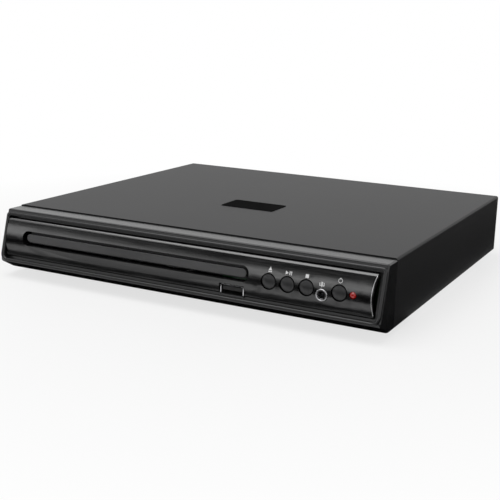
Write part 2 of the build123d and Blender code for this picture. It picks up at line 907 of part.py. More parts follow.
with BuildPart() as disc_tray:
    with BuildSketch(top_view(tray_floor_low)):
        span(tray_left, tray_right, tray_front, tray_rear)
    extrude(amount=tray_floor)
    fillet(disc_tray.edges().filter_by(Axis.Z), bend_radius)
    # Rails below both sides and a wall behind the door
    with BuildSketch(top_view(tray_low)):
        span(tray_left, tray_left + rail_width, tray_front, tray_rear)
        span(tray_right - rail_width, tray_right, tray_front, tray_rear)
        span(tray_left, tray_right, tray_front, tray_front + tray_front_wall)
    extrude(amount=tray_floor_low - tray_low)
    # Rack, with its teeth towards the tray gear
    with BuildSketch(top_view(tray_low + face_gap)):
        span(rack_root_x, rack_root_x + rack_bar_width, tray_front, tray_rear)
        toothed_rack(rack_line_x, tray_front + 8.0, tray_rear, drive_y, rack_module, -1)
    extrude(amount=tray_floor_low - tray_low - face_gap)
    # Wells for both disc sizes
    with BuildSketch(top_view(tray_high - disc_well_depth)):
        with Locations((loader_x, disc_y)):
            Circle(disc_well_radius)
        with Locations((loader_x, disc_y - disc_well_radius)):
            Circle(finger_notch_radius)
    extrude(amount=disc_well_depth, mode=Mode.SUBTRACT)
    with BuildSketch(top_view(tray_high - disc_well_depth - small_well_depth)):
        with Locations((loader_x, disc_y)):
            Circle(small_well_radius)
    extrude(amount=small_well_depth, mode=Mode.SUBTRACT)
    # Opening for the turntable and the pickup's way out from it
    with BuildSketch(top_view(tray_floor_low)):
        with Locations((loader_x, disc_y)):
            Circle(hub_hole_radius)
        with Locations((loader_x, disc_y + pickup_slot_reach / 2)):
            RectangleRounded(pickup_slot_width, pickup_slot_reach, bend_radius * 3)
    extrude(amount=tray_floor, mode=Mode.SUBTRACT)

with BuildPart() as tray_door:
    with BuildSketch(front_view(door_front)):
        with Locations((slot_x, slot_z)):
            RectangleRounded(door_width, door_height, door_height * 0.48)
    extrude(amount=-door_thickness)
    fillet(tray_door.faces().sort_by(Axis.Y)[0].edges(), door_thickness / 8)

# ------------------------------------------------------------ loader frame
frame_high = tray_high + frame_above_tray
shelf_high = tray_low - seat_gap
drive_plate_high = drive_plate_low + drive_plate_thickness
wheel_radius = wheel_module * wheel_teeth / 2
pinion_radius = wheel_module * pinion_teeth / 2
pulley_gear_x = tray_gear_x - wheel_radius - pinion_radius
motor_x = loader_x + motor_dx
rack_wheel_low = tray_low + 0.2
rack_wheel_high = tray_floor_low - seat_gap
wheel_thickness = 2.0
wheel_low = pulley_low + pulley_height + seat_gap
pivot_ear_thickness = 4.0
pivot_ear_dx = traverse_half_width + 4.0
pivot_ear_half = 5.0
pivot_ear_high = pivot_z + 4.5
clamp_boss_radius = 3.4
clamp_boss_dx = frame_outer_half + clamp_boss_radius - 0.6
clamp_boss_depth = 8.0
clamp_bosses = [
    (loader_x + side * clamp_boss_dx, disc_y + step * (clamp_width / 2 - clamp_boss_radius))
    for side in (-1, 1)
    for step in (-1, 1)
]

spindle_reach = pivot_y - disc_y
rest_tilt = asin(spindle_drop / spindle_reach)
cam_pin_reach = pivot_y - cam_front + face_gap
cam_pin_rest_z = pivot_z - cam_pin_reach * sin(rest_tilt) + cam_pin_height * cos(rest_tilt)
cam_pin_high_z = pivot_z + cam_pin_height
cam_slot_half = cam_pin_radius + cam_pin_gap
cam_low = cam_pin_rest_z - cam_slot_half - cam_margin
cam_high = cam_pin_high_z + cam_slot_half + cam_margin
cam_back = cam_front + cam_thickness
cam_pin_xs = (loader_x - 12.0, loader_x + 14.0)
cam_bracket_xs = (loader_x - 39.5, loader_x + 22.5)
cam_bracket_width = 5.0
cam_bracket_wall = 1.2

with BuildPart() as loader_frame:
    # Side walls
    for side in (-1, 1):
        with BuildSketch(top_view(frame_low)):
            inner = loader_x + side * frame_inner_half
            outer = loader_x + side * frame_outer_half
            span(min(inner, outer), max(inner, outer), frame_front, frame_rear)
        extrude(amount=frame_high - frame_low)
    # Shelves that the tray's rails run on
    for side in (-1, 1):
        with BuildSketch(top_view(shelf_high - shelf_thickness)):
            inner = loader_x + side * (frame_inner_half - shelf_width)
            outer = loader_x + side * (frame_inner_half + frame_wall / 2)
            span(min(inner, outer), max(inner, outer), frame_front, frame_rear)
        extrude(amount=shelf_thickness)
    # Keepers that hold the tray down
    for side in (-1, 1):
        for keeper_y in (frame_front, disc_y + 40.0):
            with BuildSketch(top_view(tray_high + seat_gap)):
                inner = loader_x + side * (frame_inner_half - keeper_width)
                outer = loader_x + side * (frame_inner_half + frame_wall / 2)
                span(min(inner, outer), max(inner, outer), keeper_y, keeper_y + keeper_length)
            extrude(amount=frame_above_tray - seat_gap)
    # Drive plate in front and cross plate at the rear
    with BuildSketch(top_view(drive_plate_low)):
        span(
            loader_x - frame_inner_half - frame_wall / 2,
            loader_x + frame_inner_half + frame_wall / 2,
            frame_front,
            drive_plate_rear,
        )
        with Locations((motor_x, drive_y)):
            Circle(motor_radius + seat_gap, mode=Mode.SUBTRACT)
        with Locations(*loader_feet):
            Circle(screw_head + 1.0, mode=Mode.SUBTRACT)
    extrude(amount=drive_plate_thickness)
    with BuildSketch(top_view(frame_low)):
        span(
            loader_x - frame_inner_half - frame_wall / 2,
            loader_x + frame_inner_half + frame_wall / 2,
            pivot_y - pivot_ear_half,
            frame_rear,
        )
    extrude(amount=shelf_thickness)
    # Ears for the optical unit's pivot pins
    for side in (-1, 1):
        ear_x = loader_x + side * pivot_ear_dx
        with BuildSketch(side_view(ear_x - pivot_ear_thickness / 2)):
            span(pivot_y - pivot_ear_half, pivot_y + pivot_ear_half, frame_low, pivot_ear_high)
            with Locations((pivot_y, pivot_z)):
                Circle(pivot_pin_radius + shaft_gap, mode=Mode.SUBTRACT)
        extrude(amount=pivot_ear_thickness)
    # Posts that the gears turn on
    with BuildSketch(top_view(drive_plate_low)):
        with Locations((tray_gear_x, drive_y), (pulley_gear_x, drive_y)):
            Circle(gear_post_radius)
    extrude(amount=rack_wheel_high - drive_plate_low)
    with BuildSketch(top_view(drive_plate_low)):
        with Locations((tray_gear_x, drive_y), (pulley_gear_x, drive_y)):
            Circle(gear_post_radius + 1.5)
    extrude(amount=pulley_low - seat_gap - drive_plate_low)
    # Two brackets that guide the cam slider
    for bracket_x in cam_bracket_xs:
        with BuildSketch(side_view(bracket_x - cam_bracket_width / 2)):
            span(
                cam_front - cam_bracket_gap - cam_bracket_wall,
                cam_back + cam_bracket_gap + cam_bracket_wall,
                cam_low - cam_bracket_gap - cam_bracket_wall,
                cam_high + cam_bracket_gap + cam_bracket_wall,
            )
            span(drive_plate_rear - 1.0, cam_front - cam_bracket_wall, drive_plate_low, drive_plate_high)
        extrude(amount=cam_bracket_width)
        with BuildSketch(side_view(bracket_x - cam_bracket_width / 2)):
            span(
                cam_front - cam_bracket_gap,
                cam_back + cam_bracket_gap,
                cam_low - cam_bracket_gap,
                cam_high + cam_bracket_gap,
            )
        extrude(amount=cam_bracket_width, mode=Mode.SUBTRACT)
    # Feet for the mounting screws
    with BuildSketch(top_view(frame_low)):
        with Locations(*loader_feet):
            Circle(loader_foot_radius)
        for foot_at_x, foot_at_y in loader_feet:
            wall_side = 1 if foot_at_x > loader_x else -1
            wall_x = loader_x + wall_side * (frame_inner_half + frame_wall / 2)
            span(
                min(foot_at_x, wall_x),
                max(foot_at_x, wall_x),
                foot_at_y - loader_foot_radius,
                foot_at_y + loader_foot_radius,
            )
    extrude(amount=loader_foot_thickness)
    with BuildSketch(top_view(frame_low)):
        with Locations(*loader_feet):
            Circle(screw_hole)
    extrude(amount=loader_foot_thickness, mode=Mode.SUBTRACT)
    # Bosses for the clamp bridge
    with BuildSketch(top_view(frame_high - clamp_boss_depth)):
        with Locations(*clamp_bosses):
            Circle(clamp_boss_radius)
    extrude(amount=clamp_boss_depth)
    with BuildSketch(top_view(frame_high - clamp_boss_depth + 1.0)):
        with Locations(*clamp_bosses):
            Circle(screw_hole)
    extrude(amount=clamp_boss_depth, mode=Mode.SUBTRACT)

with BuildPart() as loader_screws:
    for screw_x, screw_y in loader_feet:
        add_screw(screw_x, screw_y, frame_low + loader_foot_thickness, loader_foot_thickness + 1.6)
    for screw_x, screw_y in clamp_bosses:
        add_screw(screw_x, screw_y, frame_high + clamp_thickness, clamp_boss_depth - 1.5)

# ------------------------------------------------------------ loading drive
with BuildPart() as tray_gear:
    with BuildSketch(top_view(rack_wheel_low)):
        with Locations((tray_gear_x, drive_y)):
            toothed_wheel(rack_wheel_teeth, rack_module, 0)
    extrude(amount=rack_wheel_high - rack_wheel_low)
    with BuildSketch(top_view(wheel_low)):
        with Locations((tray_gear_x, drive_y)):
            toothed_wheel(wheel_teeth, wheel_module, 180)
    extrude(amount=wheel_thickness)
    with BuildSketch(top_view(pulley_low)):
        with Locations((tray_gear_x, drive_y)):
            Circle(2 * gear_post_radius)
    extrude(amount=rack_wheel_high - pulley_low)
    with BuildSketch(top_view(pulley_low)):
        with Locations((tray_gear_x, drive_y)):
            Circle(gear_post_radius + shaft_gap)
    extrude(amount=rack_wheel_high, mode=Mode.SUBTRACT)
    # Openings that lighten the large wheel
    wheel_holes = 6
    with BuildSketch(top_view(wheel_low)):
        with Locations((tray_gear_x, drive_y)):
            with PolarLocations(wheel_radius * 0.6, wheel_holes):
                Circle(wheel_radius * 0.17)
    extrude(amount=wheel_thickness, mode=Mode.SUBTRACT)

belt_middle = pulley_low + pulley_height / 2
groove_height = belt_section + 0.2
motor_lip = 1.8
pulley_gap = 0.1
press_gap = 0.02

with BuildPart() as pulley_gear:
    with BuildSketch(top_view(pulley_low)):
        with Locations((pulley_gear_x, drive_y)):
            Circle(pulley_flange_radius)
    extrude(amount=pulley_height)
    with BuildSketch(top_view(belt_middle - groove_height / 2)):
        with Locations((pulley_gear_x, drive_y)):
            Circle(pulley_flange_radius + 1)
            Circle(pulley_groove_radius, mode=Mode.SUBTRACT)
    extrude(amount=groove_height, mode=Mode.SUBTRACT)
    with BuildSketch(top_view(pulley_low + pulley_height)):
        with Locations((pulley_gear_x, drive_y)):
            toothed_wheel(pinion_teeth, wheel_module, 180 / pinion_teeth)
    extrude(amount=seat_gap + wheel_thickness + seat_gap)
    with BuildSketch(top_view(pulley_low)):
        with Locations((pulley_gear_x, drive_y)):
            Circle(gear_post_radius + shaft_gap)
    extrude(amount=rack_wheel_high, mode=Mode.SUBTRACT)

motor_seat = drive_plate_high
motor_shaft_radius = 1.0

with BuildPart() as loading_motor:
    with BuildSketch(top_view(motor_low)):
        with Locations((motor_x, drive_y)):
            Circle(motor_radius)
    extrude(amount=motor_seat - motor_low)
    fillet(loading_motor.faces().sort_by(Axis.Z)[0].edges(), bend_radius)
    with BuildSketch(top_view(motor_seat)):
        with Locations((motor_x, drive_y)):
            Circle(motor_radius + motor_lip)
    extrude(amount=motor_flange)
    with BuildSketch(top_view(motor_seat)):
        with Locations((motor_x, drive_y)):
            Circle(motor_shaft_radius)
    extrude(amount=pulley_low + pulley_height - motor_seat)

with BuildPart() as motor_pulley:
    with BuildSketch(top_view(motor_seat + motor_flange + pulley_gap)):
        with Locations((motor_x, drive_y)):
            Circle(motor_flange_radius)
            Circle(motor_shaft_radius + press_gap, mode=Mode.SUBTRACT)
    extrude(amount=pulley_low + pulley_height - motor_seat - motor_flange - pulley_gap)
    with BuildSketch(top_view(belt_middle - groove_height / 2)):
        with Locations((motor_x, drive_y)):
            Circle(motor_flange_radius + 1)
            Circle(motor_groove_radius, mode=Mode.SUBTRACT)
    extrude(amount=groove_height, mode=Mode.SUBTRACT)



def belt_loop(extra, mode):
    """Add the outline of a band around both pulleys to the current sketch."""
    with BuildLine(mode=Mode.PRIVATE) as circles:
        CenterArc((pulley_gear_x, drive_y), pulley_groove_radius + face_gap + extra, 0, 360)
        CenterArc((motor_x, drive_y), motor_groove_radius + face_gap + extra, 0, 360)
    make_hull(circles.edges(), mode=mode)


with BuildPart() as drive_belt:
    with BuildSketch(top_view(belt_middle - belt_section / 2)):
        belt_loop(belt_section, Mode.ADD)
        belt_loop(0.0, Mode.SUBTRACT)
    extrude(amount=belt_section)

# ------------------------------------------------------------ cam slider
cam_rise = cam_pin_high_z - cam_pin_rest_z
cam_slope = degrees(atan2(cam_rise, cam_travel))
cam_slot_length = hypot(cam_rise, cam_travel)

with BuildPart() as cam_slider:
    with BuildSketch(front_view(cam_front)):
        span(loader_x + cam_left, loader_x + cam_right, cam_low, cam_high)
    extrude(amount=-cam_thickness)
    with BuildSketch(front_view(cam_front)):
        for pin_x in cam_pin_xs:
            with Locations((pin_x - cam_travel / 2, cam_pin_rest_z + cam_rise / 2)):
                SlotCenterToCenter(cam_slot_length, 2 * cam_slot_half, rotation=-cam_slope)
    extrude(amount=-cam_thickness, mode=Mode.SUBTRACT)

# ------------------------------------------------------------ disc clamp
bridge_rib = 1.5
bridge_rib_height = 2.5
bridge_rib_inset = 4.0

with BuildPart() as clamp_bridge:
    with BuildSketch(top_view(frame_high)):
        with Locations((loader_x, disc_y)):
            RectangleRounded(2 * (clamp_boss_dx + clamp_boss_radius), clamp_width, bend_radius * 2)
            Circle(clamp_hole_radius, mode=Mode.SUBTRACT)
        with Locations(*clamp_bosses):
            Circle(screw_hole, mode=Mode.SUBTRACT)
    extrude(amount=clamp_thickness)
    # Stiffening ribs along both edges
    with BuildSketch(top_view(frame_high + clamp_thickness)):
        for side in (-1, 1):
            with Locations((loader_x, disc_y + side * (clamp_width - bridge_rib) / 2)):
                Rectangle(2 * frame_inner_half - 2 * bridge_rib_inset, bridge_rib)
    extrude(amount=bridge_rib_height)

puck_flange_low = frame_high + clamp_thickness + seat_gap
puck_plate_radius = 9.5
cone_recess = 1.2
steel_plate = 1.0
steel_plate_hole = 3.0

with BuildPart() as clamp_puck:
    with BuildSketch(top_view(puck_low)):
        with Locations((loader_x, disc_y)):
            Circle(puck_hub_radius)
    extrude(amount=puck_flange_low - puck_low)
    with BuildSketch(top_view(puck_flange_low)):
        with Locations((loader_x, disc_y)):
            Circle(puck_flange_radius)
    extrude(amount=puck_flange)
    # Recess for the turntable's cone below and for the steel plate above
    with BuildSketch(top_view(puck_low)):
        with Locations((loader_x, disc_y)):
            Circle(puck_plate_radius)
    extrude(amount=cone_recess, mode=Mode.SUBTRACT)
    with BuildSketch(top_view(puck_flange_low + puck_flange - steel_plate)):
        with Locations((loader_x, disc_y)):
            Circle(puck_plate_radius + face_gap)
    extrude(amount=steel_plate, mode=Mode.SUBTRACT)

with BuildPart() as clamp_steel_plate:
    with BuildSketch(top_view(puck_flange_low + puck_flange - steel_plate)):
        with Locations((loader_x, disc_y)):
            Circle(puck_plate_radius)
            Circle(steel_plate_hole, mode=Mode.SUBTRACT)
    extrude(amount=steel_plate)

# ------------------------------------------------------------ optical unit
# Everything here is drawn on the deck, a plane through the pivot that rests
# tilted by rest_tilt. Deck Y is measured from the pivot, towards the rear.
deck = Plane(
    origin=(loader_x, pivot_y, pivot_z),
    x_dir=(1, 0, 0),
    z_dir=(0, -sin(rest_tilt), cos(rest_tilt)),
)
spindle_v = disc_y - pivot_y
lens_v = spindle_v + lens_rest_radius
sled_gear_v = sled_gear_y - pivot_y
deck_low = -traverse_thickness / 2
deck_high = traverse_thickness / 2
front_v = -traverse_front - pivot_y
rear_v = traverse_rear - pivot_y
window_front_v = spindle_v + sled_window_front
window_rear_v = sled_window_rear - pivot_y
sled_pinion_radius = sled_rack_module * sled_pinion_teeth / 2
sled_wheel_radius = sled_wheel_module * sled_wheel_teeth / 2
sled_motor_pinion_radius = sled_wheel_module * sled_motor_teeth / 2
sled_gear_x = sled_rack_x + sled_pinion_radius
sled_motor_v = sled_gear_v + sled_wheel_radius + sled_motor_pinion_radius
sled_wheel_low = sled_rack_high + seat_gap
sled_wheel_thickness = 1.5
sled_shaft_radius = 1.25
sled_motor_radius = 7.0
sled_motor_low = -6.3
sled_motor_shaft = 0.75
cam_flange_thickness = 2.0
cam_flange_high = cam_pin_height + cam_pin_radius + 0.8


def deck_front(v):
    """Plane across the deck at deck Y = v. Local x is X, local y is height; it extrudes to the front."""
    return Plane(origin=deck.from_local_coords((0, v, 0)), x_dir=deck.x_dir, z_dir=-deck.y_dir)


def deck_side(x):
    """Plane along the deck at local x. Local x is deck Y, local y is height; it extrudes to +X."""
    return Plane(origin=deck.from_local_coords((x, 0, 0)), x_dir=deck.y_dir, z_dir=deck.x_dir)


bush_radius = 3.0
deck_round = 4.0
rod_block_length = 5.0
rod_hole = rod_radius + 0.02
rod_front_v = window_front_v - rod_block_length + 1.0
rod_rear_v = window_rear_v + rod_block_length - 1.0

with BuildPart() as traverse_frame:
    with BuildSketch(deck.offset(deck_low)):
        span(-traverse_half_width, traverse_half_width, front_v, rear_v)
        span(-sled_window_half, sled_window_half, window_front_v, window_rear_v)
    extrude(amount=traverse_thickness)
    fillet(traverse_frame.edges().filter_by(Axis(deck.origin, deck.z_dir)), deck_round)
    with BuildSketch(deck.offset(deck_low)):
        span(-sled_window_half, sled_window_half, window_front_v, window_rear_v)
        with Locations((0, spindle_v)):
            Circle(bush_radius + shaft_gap)
    extrude(amount=traverse_thickness, mode=Mode.SUBTRACT)
    # Pivot pins at both sides
    with BuildSketch(deck_side(-traverse_half_width - pivot_pin_length)):
        Circle(pivot_pin_radius)
    extrude(amount=2 * (traverse_half_width + pivot_pin_length))
    # Front flange with the two cam pins
    with BuildSketch(deck_front(front_v + cam_flange_thickness)):
        span(cam_pin_xs[0] - loader_x - 5.0, cam_pin_xs[1] - loader_x + 5.0, deck_low, cam_flange_high)
    extrude(amount=cam_flange_thickness)
    with BuildSketch(deck_front(front_v)):
        with Locations(*[(x - loader_x, cam_pin_height) for x in cam_pin_xs]):
            Circle(cam_pin_radius)
    extrude(amount=front_v + cam_pin_reach + face_gap)
    # Blocks that hold the guide rods
    for block_v in (window_front_v - rod_block_length, window_rear_v):
        with BuildSketch(deck.offset(deck_low)):
            for side in (-1, 1):
                with Locations((side * rod_x, block_v + rod_block_length / 2)):
                    Rectangle(4 * rod_radius, rod_block_length)
        extrude(amount=rod_height + rod_radius + seat_gap - deck_low)
    with BuildSketch(deck_front(rod_rear_v)):
        with Locations((-rod_x, rod_height), (rod_x, rod_height)):
            Circle(rod_hole)
    extrude(amount=rod_rear_v - rod_front_v, mode=Mode.SUBTRACT)
    # Post for the sled gear and a hole for the sled motor's shaft
    with BuildSketch(deck.offset(deck_high)):
        with Locations((sled_gear_x, sled_gear_v)):
            Circle(sled_shaft_radius)
    extrude(amount=sled_wheel_low + sled_wheel_thickness - deck_high)
    with BuildSketch(deck.offset(deck_low)):
        with Locations((sled_gear_x, sled_motor_v)):
            Circle(2 * sled_motor_shaft)
    extrude(amount=traverse_thickness, mode=Mode.SUBTRACT)

with BuildPart() as guide_rods:
    with BuildSketch(deck_front(rod_rear_v - face_gap)):
        with Locations((-rod_x, rod_height), (rod_x, rod_height)):
            Circle(rod_radius)
    extrude(amount=rod_rear_v - rod_front_v - 2 * face_gap)

spindle_plate = 1.0
spindle_plate_width = 26.0
spindle_plate_depth = 22.0
spindle_shaft_radius = 1.0
spindle_bush_low = -2.6
rotor_inner = 10.0
rotor_outer = 11.4
rotor_roof = 1.0
rotor_low = deck_high + spindle_plate + seat_gap
rotor_high = 8.4
stator_radius = 9.5
stator_high = 6.6
stator_poles = 9
pole_tip = 1.0
bush_proud = 0.4
bush_floor = 0.6
table_radius = 14.5
table_thickness = 1.6
cone_radius = 7.4
cone_top_radius = 6.0
cone_height = 1.9

with BuildPart() as spindle_motor:
    with BuildSketch(deck.offset(deck_high)):
        with Locations((0, spindle_v)):
            RectangleRounded(spindle_plate_width, spindle_plate_depth, bend_radius)
    extrude(amount=spindle_plate)
    with BuildSketch(deck.offset(spindle_bush_low)):
        with Locations((0, spindle_v)):
            Circle(bush_radius)
    extrude(amount=stator_high + bush_proud - spindle_bush_low)
    # Stator with its nine wound poles
    with BuildSketch(deck.offset(rotor_low)):
        with Locations((0, spindle_v)):
            Circle(stator_radius * 0.5)
            with PolarLocations(stator_radius * 0.62, stator_poles):
                Rectangle(stator_radius * 0.76, stator_radius * 0.26)
            with PolarLocations(stator_radius - 0.6 * pole_tip, stator_poles):
                Rectangle(pole_tip, stator_radius * 0.5)
    extrude(amount=stator_high - rotor_low)
    with BuildSketch(deck.offset(deck_high + spindle_plate)):
        with Locations((0, spindle_v)):
            Circle(stator_radius * 0.5)
    extrude(amount=seat_gap)
    with BuildSketch(deck.offset(spindle_bush_low + bush_floor)):
        with Locations((0, spindle_v)):
            Circle(spindle_shaft_radius + shaft_gap)
    extrude(amount=2 * stator_high, mode=Mode.SUBTRACT)

with BuildPart() as turntable:
    with BuildSketch(deck.offset(rotor_low)):
        with Locations((0, spindle_v)):
            Circle(rotor_outer)
            Circle(rotor_inner, mode=Mode.SUBTRACT)
    extrude(amount=rotor_high - rotor_low)
    with BuildSketch(deck.offset(rotor_high - rotor_roof)):
        with Locations((0, spindle_v)):
            Circle(rotor_outer)
    extrude(amount=rotor_roof)
    with BuildSketch(deck.offset(rotor_high)):
        with Locations((0, spindle_v)):
            Circle(rotor_outer * 0.6)
    extrude(amount=seat_height - rotor_high)
    with BuildSketch(deck.offset(seat_height - table_thickness)):
        with Locations((0, spindle_v)):
            Circle(table_radius)
    extrude(amount=table_thickness)
    with BuildSketch(deck.offset(seat_height)):
        with Locations((0, spindle_v)):
            Circle(cone_radius)
    with BuildSketch(deck.offset(seat_height + cone_height)):
        with Locations((0, spindle_v)):
            Circle(cone_top_radius)
    loft()
    with BuildSketch(deck.offset(spindle_bush_low + bush_floor + seat_gap)):
        with Locations((0, spindle_v)):
            Circle(spindle_shaft_radius)
    extrude(amount=rotor_high - spindle_bush_low - bush_floor - seat_gap)

# ------------------------------------------------------------ pickup
sled_front_v = lens_v - sled_front
sled_rear_v = lens_v + sled_rear
lug_length = 5.0
lug_half = 2.5
lug_wall = 1.0
sled_round = 3.0
rack_arm_width = 3.4
rack_arm_left = sled_rack_x - tooth_dedendum * sled_rack_module - rack_arm_width
rack_front_v = sled_front_v + 1.0
rack_rear_v = sled_gear_v + sled_rack_module * pi * 1.2
lens_well_half_x = 9.0
lens_well_half_v = 7.0
lens_well_floor = 1.0
yoke_x = lens_well_half_x - 1.0
yoke_thickness = 1.4
yoke_length = 8.0
yoke_high = lens_top - 2.2
lens_holder_low = lens_well_floor + lens_down + seat_gap
lens_holder_half_x = 6.0
lens_holder_half_v = 5.0
lens_seat = lens_top - 1.4
lens_crown = 1.1
lens_rim = 1.4
lens_rim_low = lens_top - 0.9
lens_rim_height = 0.5
holder_corner = 1.5

with BuildPart() as pickup_sled:
    with BuildSketch(deck.offset(sled_low)):
        span(-sled_width / 2, sled_width / 2, sled_front_v, sled_rear_v)
    extrude(amount=sled_high - sled_low)
    fillet(pickup_sled.edges().filter_by(Axis(deck.origin, deck.z_dir)), sled_round)
    # Two bearing lugs on the main rod and one on the second rod
    for lug_x, lug_v in (
        (-rod_x, sled_front_v + lug_length / 2),
        (-rod_x, sled_rear_v - lug_length / 2),
        (rod_x, (sled_front_v + sled_rear_v) / 2),
    ):
        inward = (abs(lug_x) - sled_width / 2 + lug_half) * (1 if lug_x > 0 else -1)
        with BuildSketch(deck.offset(rod_height - rod_radius - lug_wall)):
            span(
                min(lug_x - inward, lug_x) - (lug_half if lug_x < 0 else 0),
                max(lug_x - inward, lug_x) + (lug_half if lug_x > 0 else 0),
                lug_v - lug_length / 2,
                lug_v + lug_length / 2,
            )
        extrude(amount=2 * (rod_radius + lug_wall))
    # Arm with the rack, above the second rod
    with BuildSketch(deck.offset(sled_rack_low)):
        span(
            sled_width / 2 - sled_round,
            rack_arm_left + rack_arm_width / 3,
            (sled_front_v + sled_rear_v) / 2 - lug_length / 2,
            (sled_front_v + sled_rear_v) / 2 + lug_length / 2,
        )
        span(rack_arm_left, rack_arm_left + rack_arm_width, rack_front_v, rack_rear_v)
        toothed_rack(sled_rack_x, rack_front_v, rack_rear_v, sled_gear_v, sled_rack_module, 1)
    extrude(amount=sled_rack_high - sled_rack_low)
    with BuildSketch(deck_front(rear_v)):
        with Locations((-rod_x, rod_height), (rod_x, rod_height)):
            Circle(rod_radius + shaft_gap)
    extrude(amount=rear_v - front_v, mode=Mode.SUBTRACT)
    # Well for the lens holder
    with BuildSketch(deck.offset(lens_well_floor)):
        with Locations((0, lens_v)):
            Rectangle(2 * lens_well_half_x, 2 * lens_well_half_v)
    extrude(amount=sled_high, mode=Mode.SUBTRACT)
    # Two magnets' yokes beside the holder
    with BuildSketch(deck.offset(lens_well_floor)):
        with Locations((-yoke_x, lens_v), (yoke_x, lens_v)):
            Rectangle(yoke_thickness, yoke_length)
    extrude(amount=yoke_high - lens_well_floor)

with BuildPart() as lens_holder:
    with BuildSketch(deck.offset(lens_holder_low)):
        with Locations((0, lens_v)):
            RectangleRounded(2 * lens_holder_half_x, 2 * lens_holder_half_v, holder_corner)
    extrude(amount=lens_rim_low - lens_holder_low)
    with BuildSketch(deck.offset(lens_rim_low)):
        with Locations((0, lens_v)):
            Circle(lens_radius + lens_rim)
    extrude(amount=lens_rim_height)
    with BuildSketch(deck.offset(lens_seat)):
        with Locations((0, lens_v)):
            Circle(lens_radius + face_gap)
    extrude(amount=lens_top, mode=Mode.SUBTRACT)
    with BuildSketch(deck.offset(lens_holder_low)):
        with Locations((0, lens_v)):
            Circle(lens_radius * 0.7)
    extrude(amount=lens_top, mode=Mode.SUBTRACT)

with BuildPart() as objective_lens:
    with BuildSketch(deck.offset(lens_seat)):
        with Locations((0, lens_v)):
            Circle(lens_radius)
    extrude(amount=lens_top - lens_seat)
    fillet(objective_lens.faces().sort_by(Axis(deck.origin, deck.z_dir))[-1].edges(), lens_crown)

with BuildPart() as sled_gear:
    with BuildSketch(deck.offset(deck_high + seat_gap)):
        with Locations((sled_gear_x, sled_gear_v)):
            toothed_wheel(sled_pinion_teeth, sled_rack_module, 180)
    extrude(amount=sled_wheel_low - deck_high - seat_gap)
    with BuildSketch(deck.offset(sled_wheel_low)):
        with Locations((sled_gear_x, sled_gear_v)):
            toothed_wheel(sled_wheel_teeth, sled_wheel_module, 90)
    extrude(amount=sled_wheel_thickness)
    with BuildSketch(deck.offset(deck_high)):
        with Locations((sled_gear_x, sled_gear_v)):
            Circle(sled_shaft_radius + shaft_gap)
    extrude(amount=seat_height, mode=Mode.SUBTRACT)

with BuildPart() as sled_motor:
    with BuildSketch(deck.offset(sled_motor_low)):
        with Locations((sled_gear_x, sled_motor_v)):
            Circle(sled_motor_radius)
    extrude(amount=deck_low - sled_motor_low)
    fillet(sled_motor.faces().sort_by(Axis(deck.origin, deck.z_dir))[0].edges(), 0.8)
    with BuildSketch(deck.offset(deck_low)):
        with Locations((sled_gear_x, sled_motor_v)):
            Circle(sled_motor_shaft)
    extrude(amount=sled_wheel_low + sled_wheel_thickness - deck_low)

with BuildPart() as sled_motor_pinion:
    with BuildSketch(deck.offset(deck_high + seat_gap)):
        with Locations((sled_gear_x, sled_motor_v)):
            toothed_wheel(sled_motor_teeth, sled_wheel_module, 270 + 180 / sled_motor_teeth)
            Circle(sled_motor_shaft + press_gap, mode=Mode.SUBTRACT)
    extrude(amount=sled_wheel_low + sled_wheel_thickness - deck_high - seat_gap)

# ------------------------------------------------------------ circuit boards
board_high = board_low + board_thickness
board_screw_shank = board_high - base_top - seat_gap


def circuit_board(box, holes):
    """A board on its stand-offs, with a screw hole over each of them."""
    left, right, front, rear = box
    with BuildPart() as board:
        with BuildSketch(top_view(board_low)):
            span(left, right, front, rear)
            with Locations(*holes):
                Circle(screw_hole, mode=Mode.SUBTRACT)
        extrude(amount=board_thickness)
    return board


def board_blocks(spots, width, depth, height):
    """Equal upright blocks that stand on a board."""
    with BuildPart() as blocks:
        with BuildSketch(top_view(board_high)):
            with Locations(*spots):
                Rectangle(width, depth)
        extrude(amount=height)
    return blocks


def board_cans(spots, radius, height):
    """Equal capacitor cans that stand on a board, with a rolled edge on top."""
    with BuildPart() as cans:
        with BuildSketch(top_view(board_high)):
            with Locations(*spots):
                Circle(radius)
        extrude(amount=height)
        fillet(cans.faces().sort_by(Axis.Z)[-len(spots) :].edges(), radius / 6)
    return cans


main_board = circuit_board(main_board_box, board_corners(main_board_box))
power_board = circuit_board(power_board_box, board_corners(power_board_box))
rear_board = circuit_board(rear_board_box, rear_board_holes)

with BuildPart() as board_screws:
    for screw_x, screw_y in board_holes:
        add_screw(screw_x, screw_y, board_high, board_screw_shank)

board_middle_x = (main_board_box[0] + main_board_box[1]) / 2
chip_y = -34.0
chip_width = 20.0
chip_height = 1.6
memory_y = -8.0
memory_width = 10.0
memory_length = 14.0
memory_height = 1.2
connector_y = -66.0
connector_length = 18.0
connector_width = 5.0
connector_height = 6.0
small_can_radius = 3.15
small_can_height = 8.0
main_chip = board_blocks([(board_middle_x, chip_y)], chip_width, chip_width, chip_height)
memory_chips = board_blocks(
    [(board_middle_x - 12.0, memory_y), (board_middle_x + 6.0, memory_y)],
    memory_width,
    memory_length,
    memory_height,
)
ribbon_connectors = board_blocks(
    [(board_middle_x - 16.0, connector_y), (board_middle_x + 8.0, connector_y)],
    connector_length,
    connector_width,
    connector_height,
)
board_capacitors = board_cans(
    [(board_right - 7.0, chip_y + step) for step in (-14.0, 0.0, 14.0)],
    small_can_radius,
    small_can_height,
)

sink_low = board_high + chip_height
sink_width = 22.0
sink_base = 1.5
sink_height = 9.0
sink_fins = 7
sink_fin = 1.0

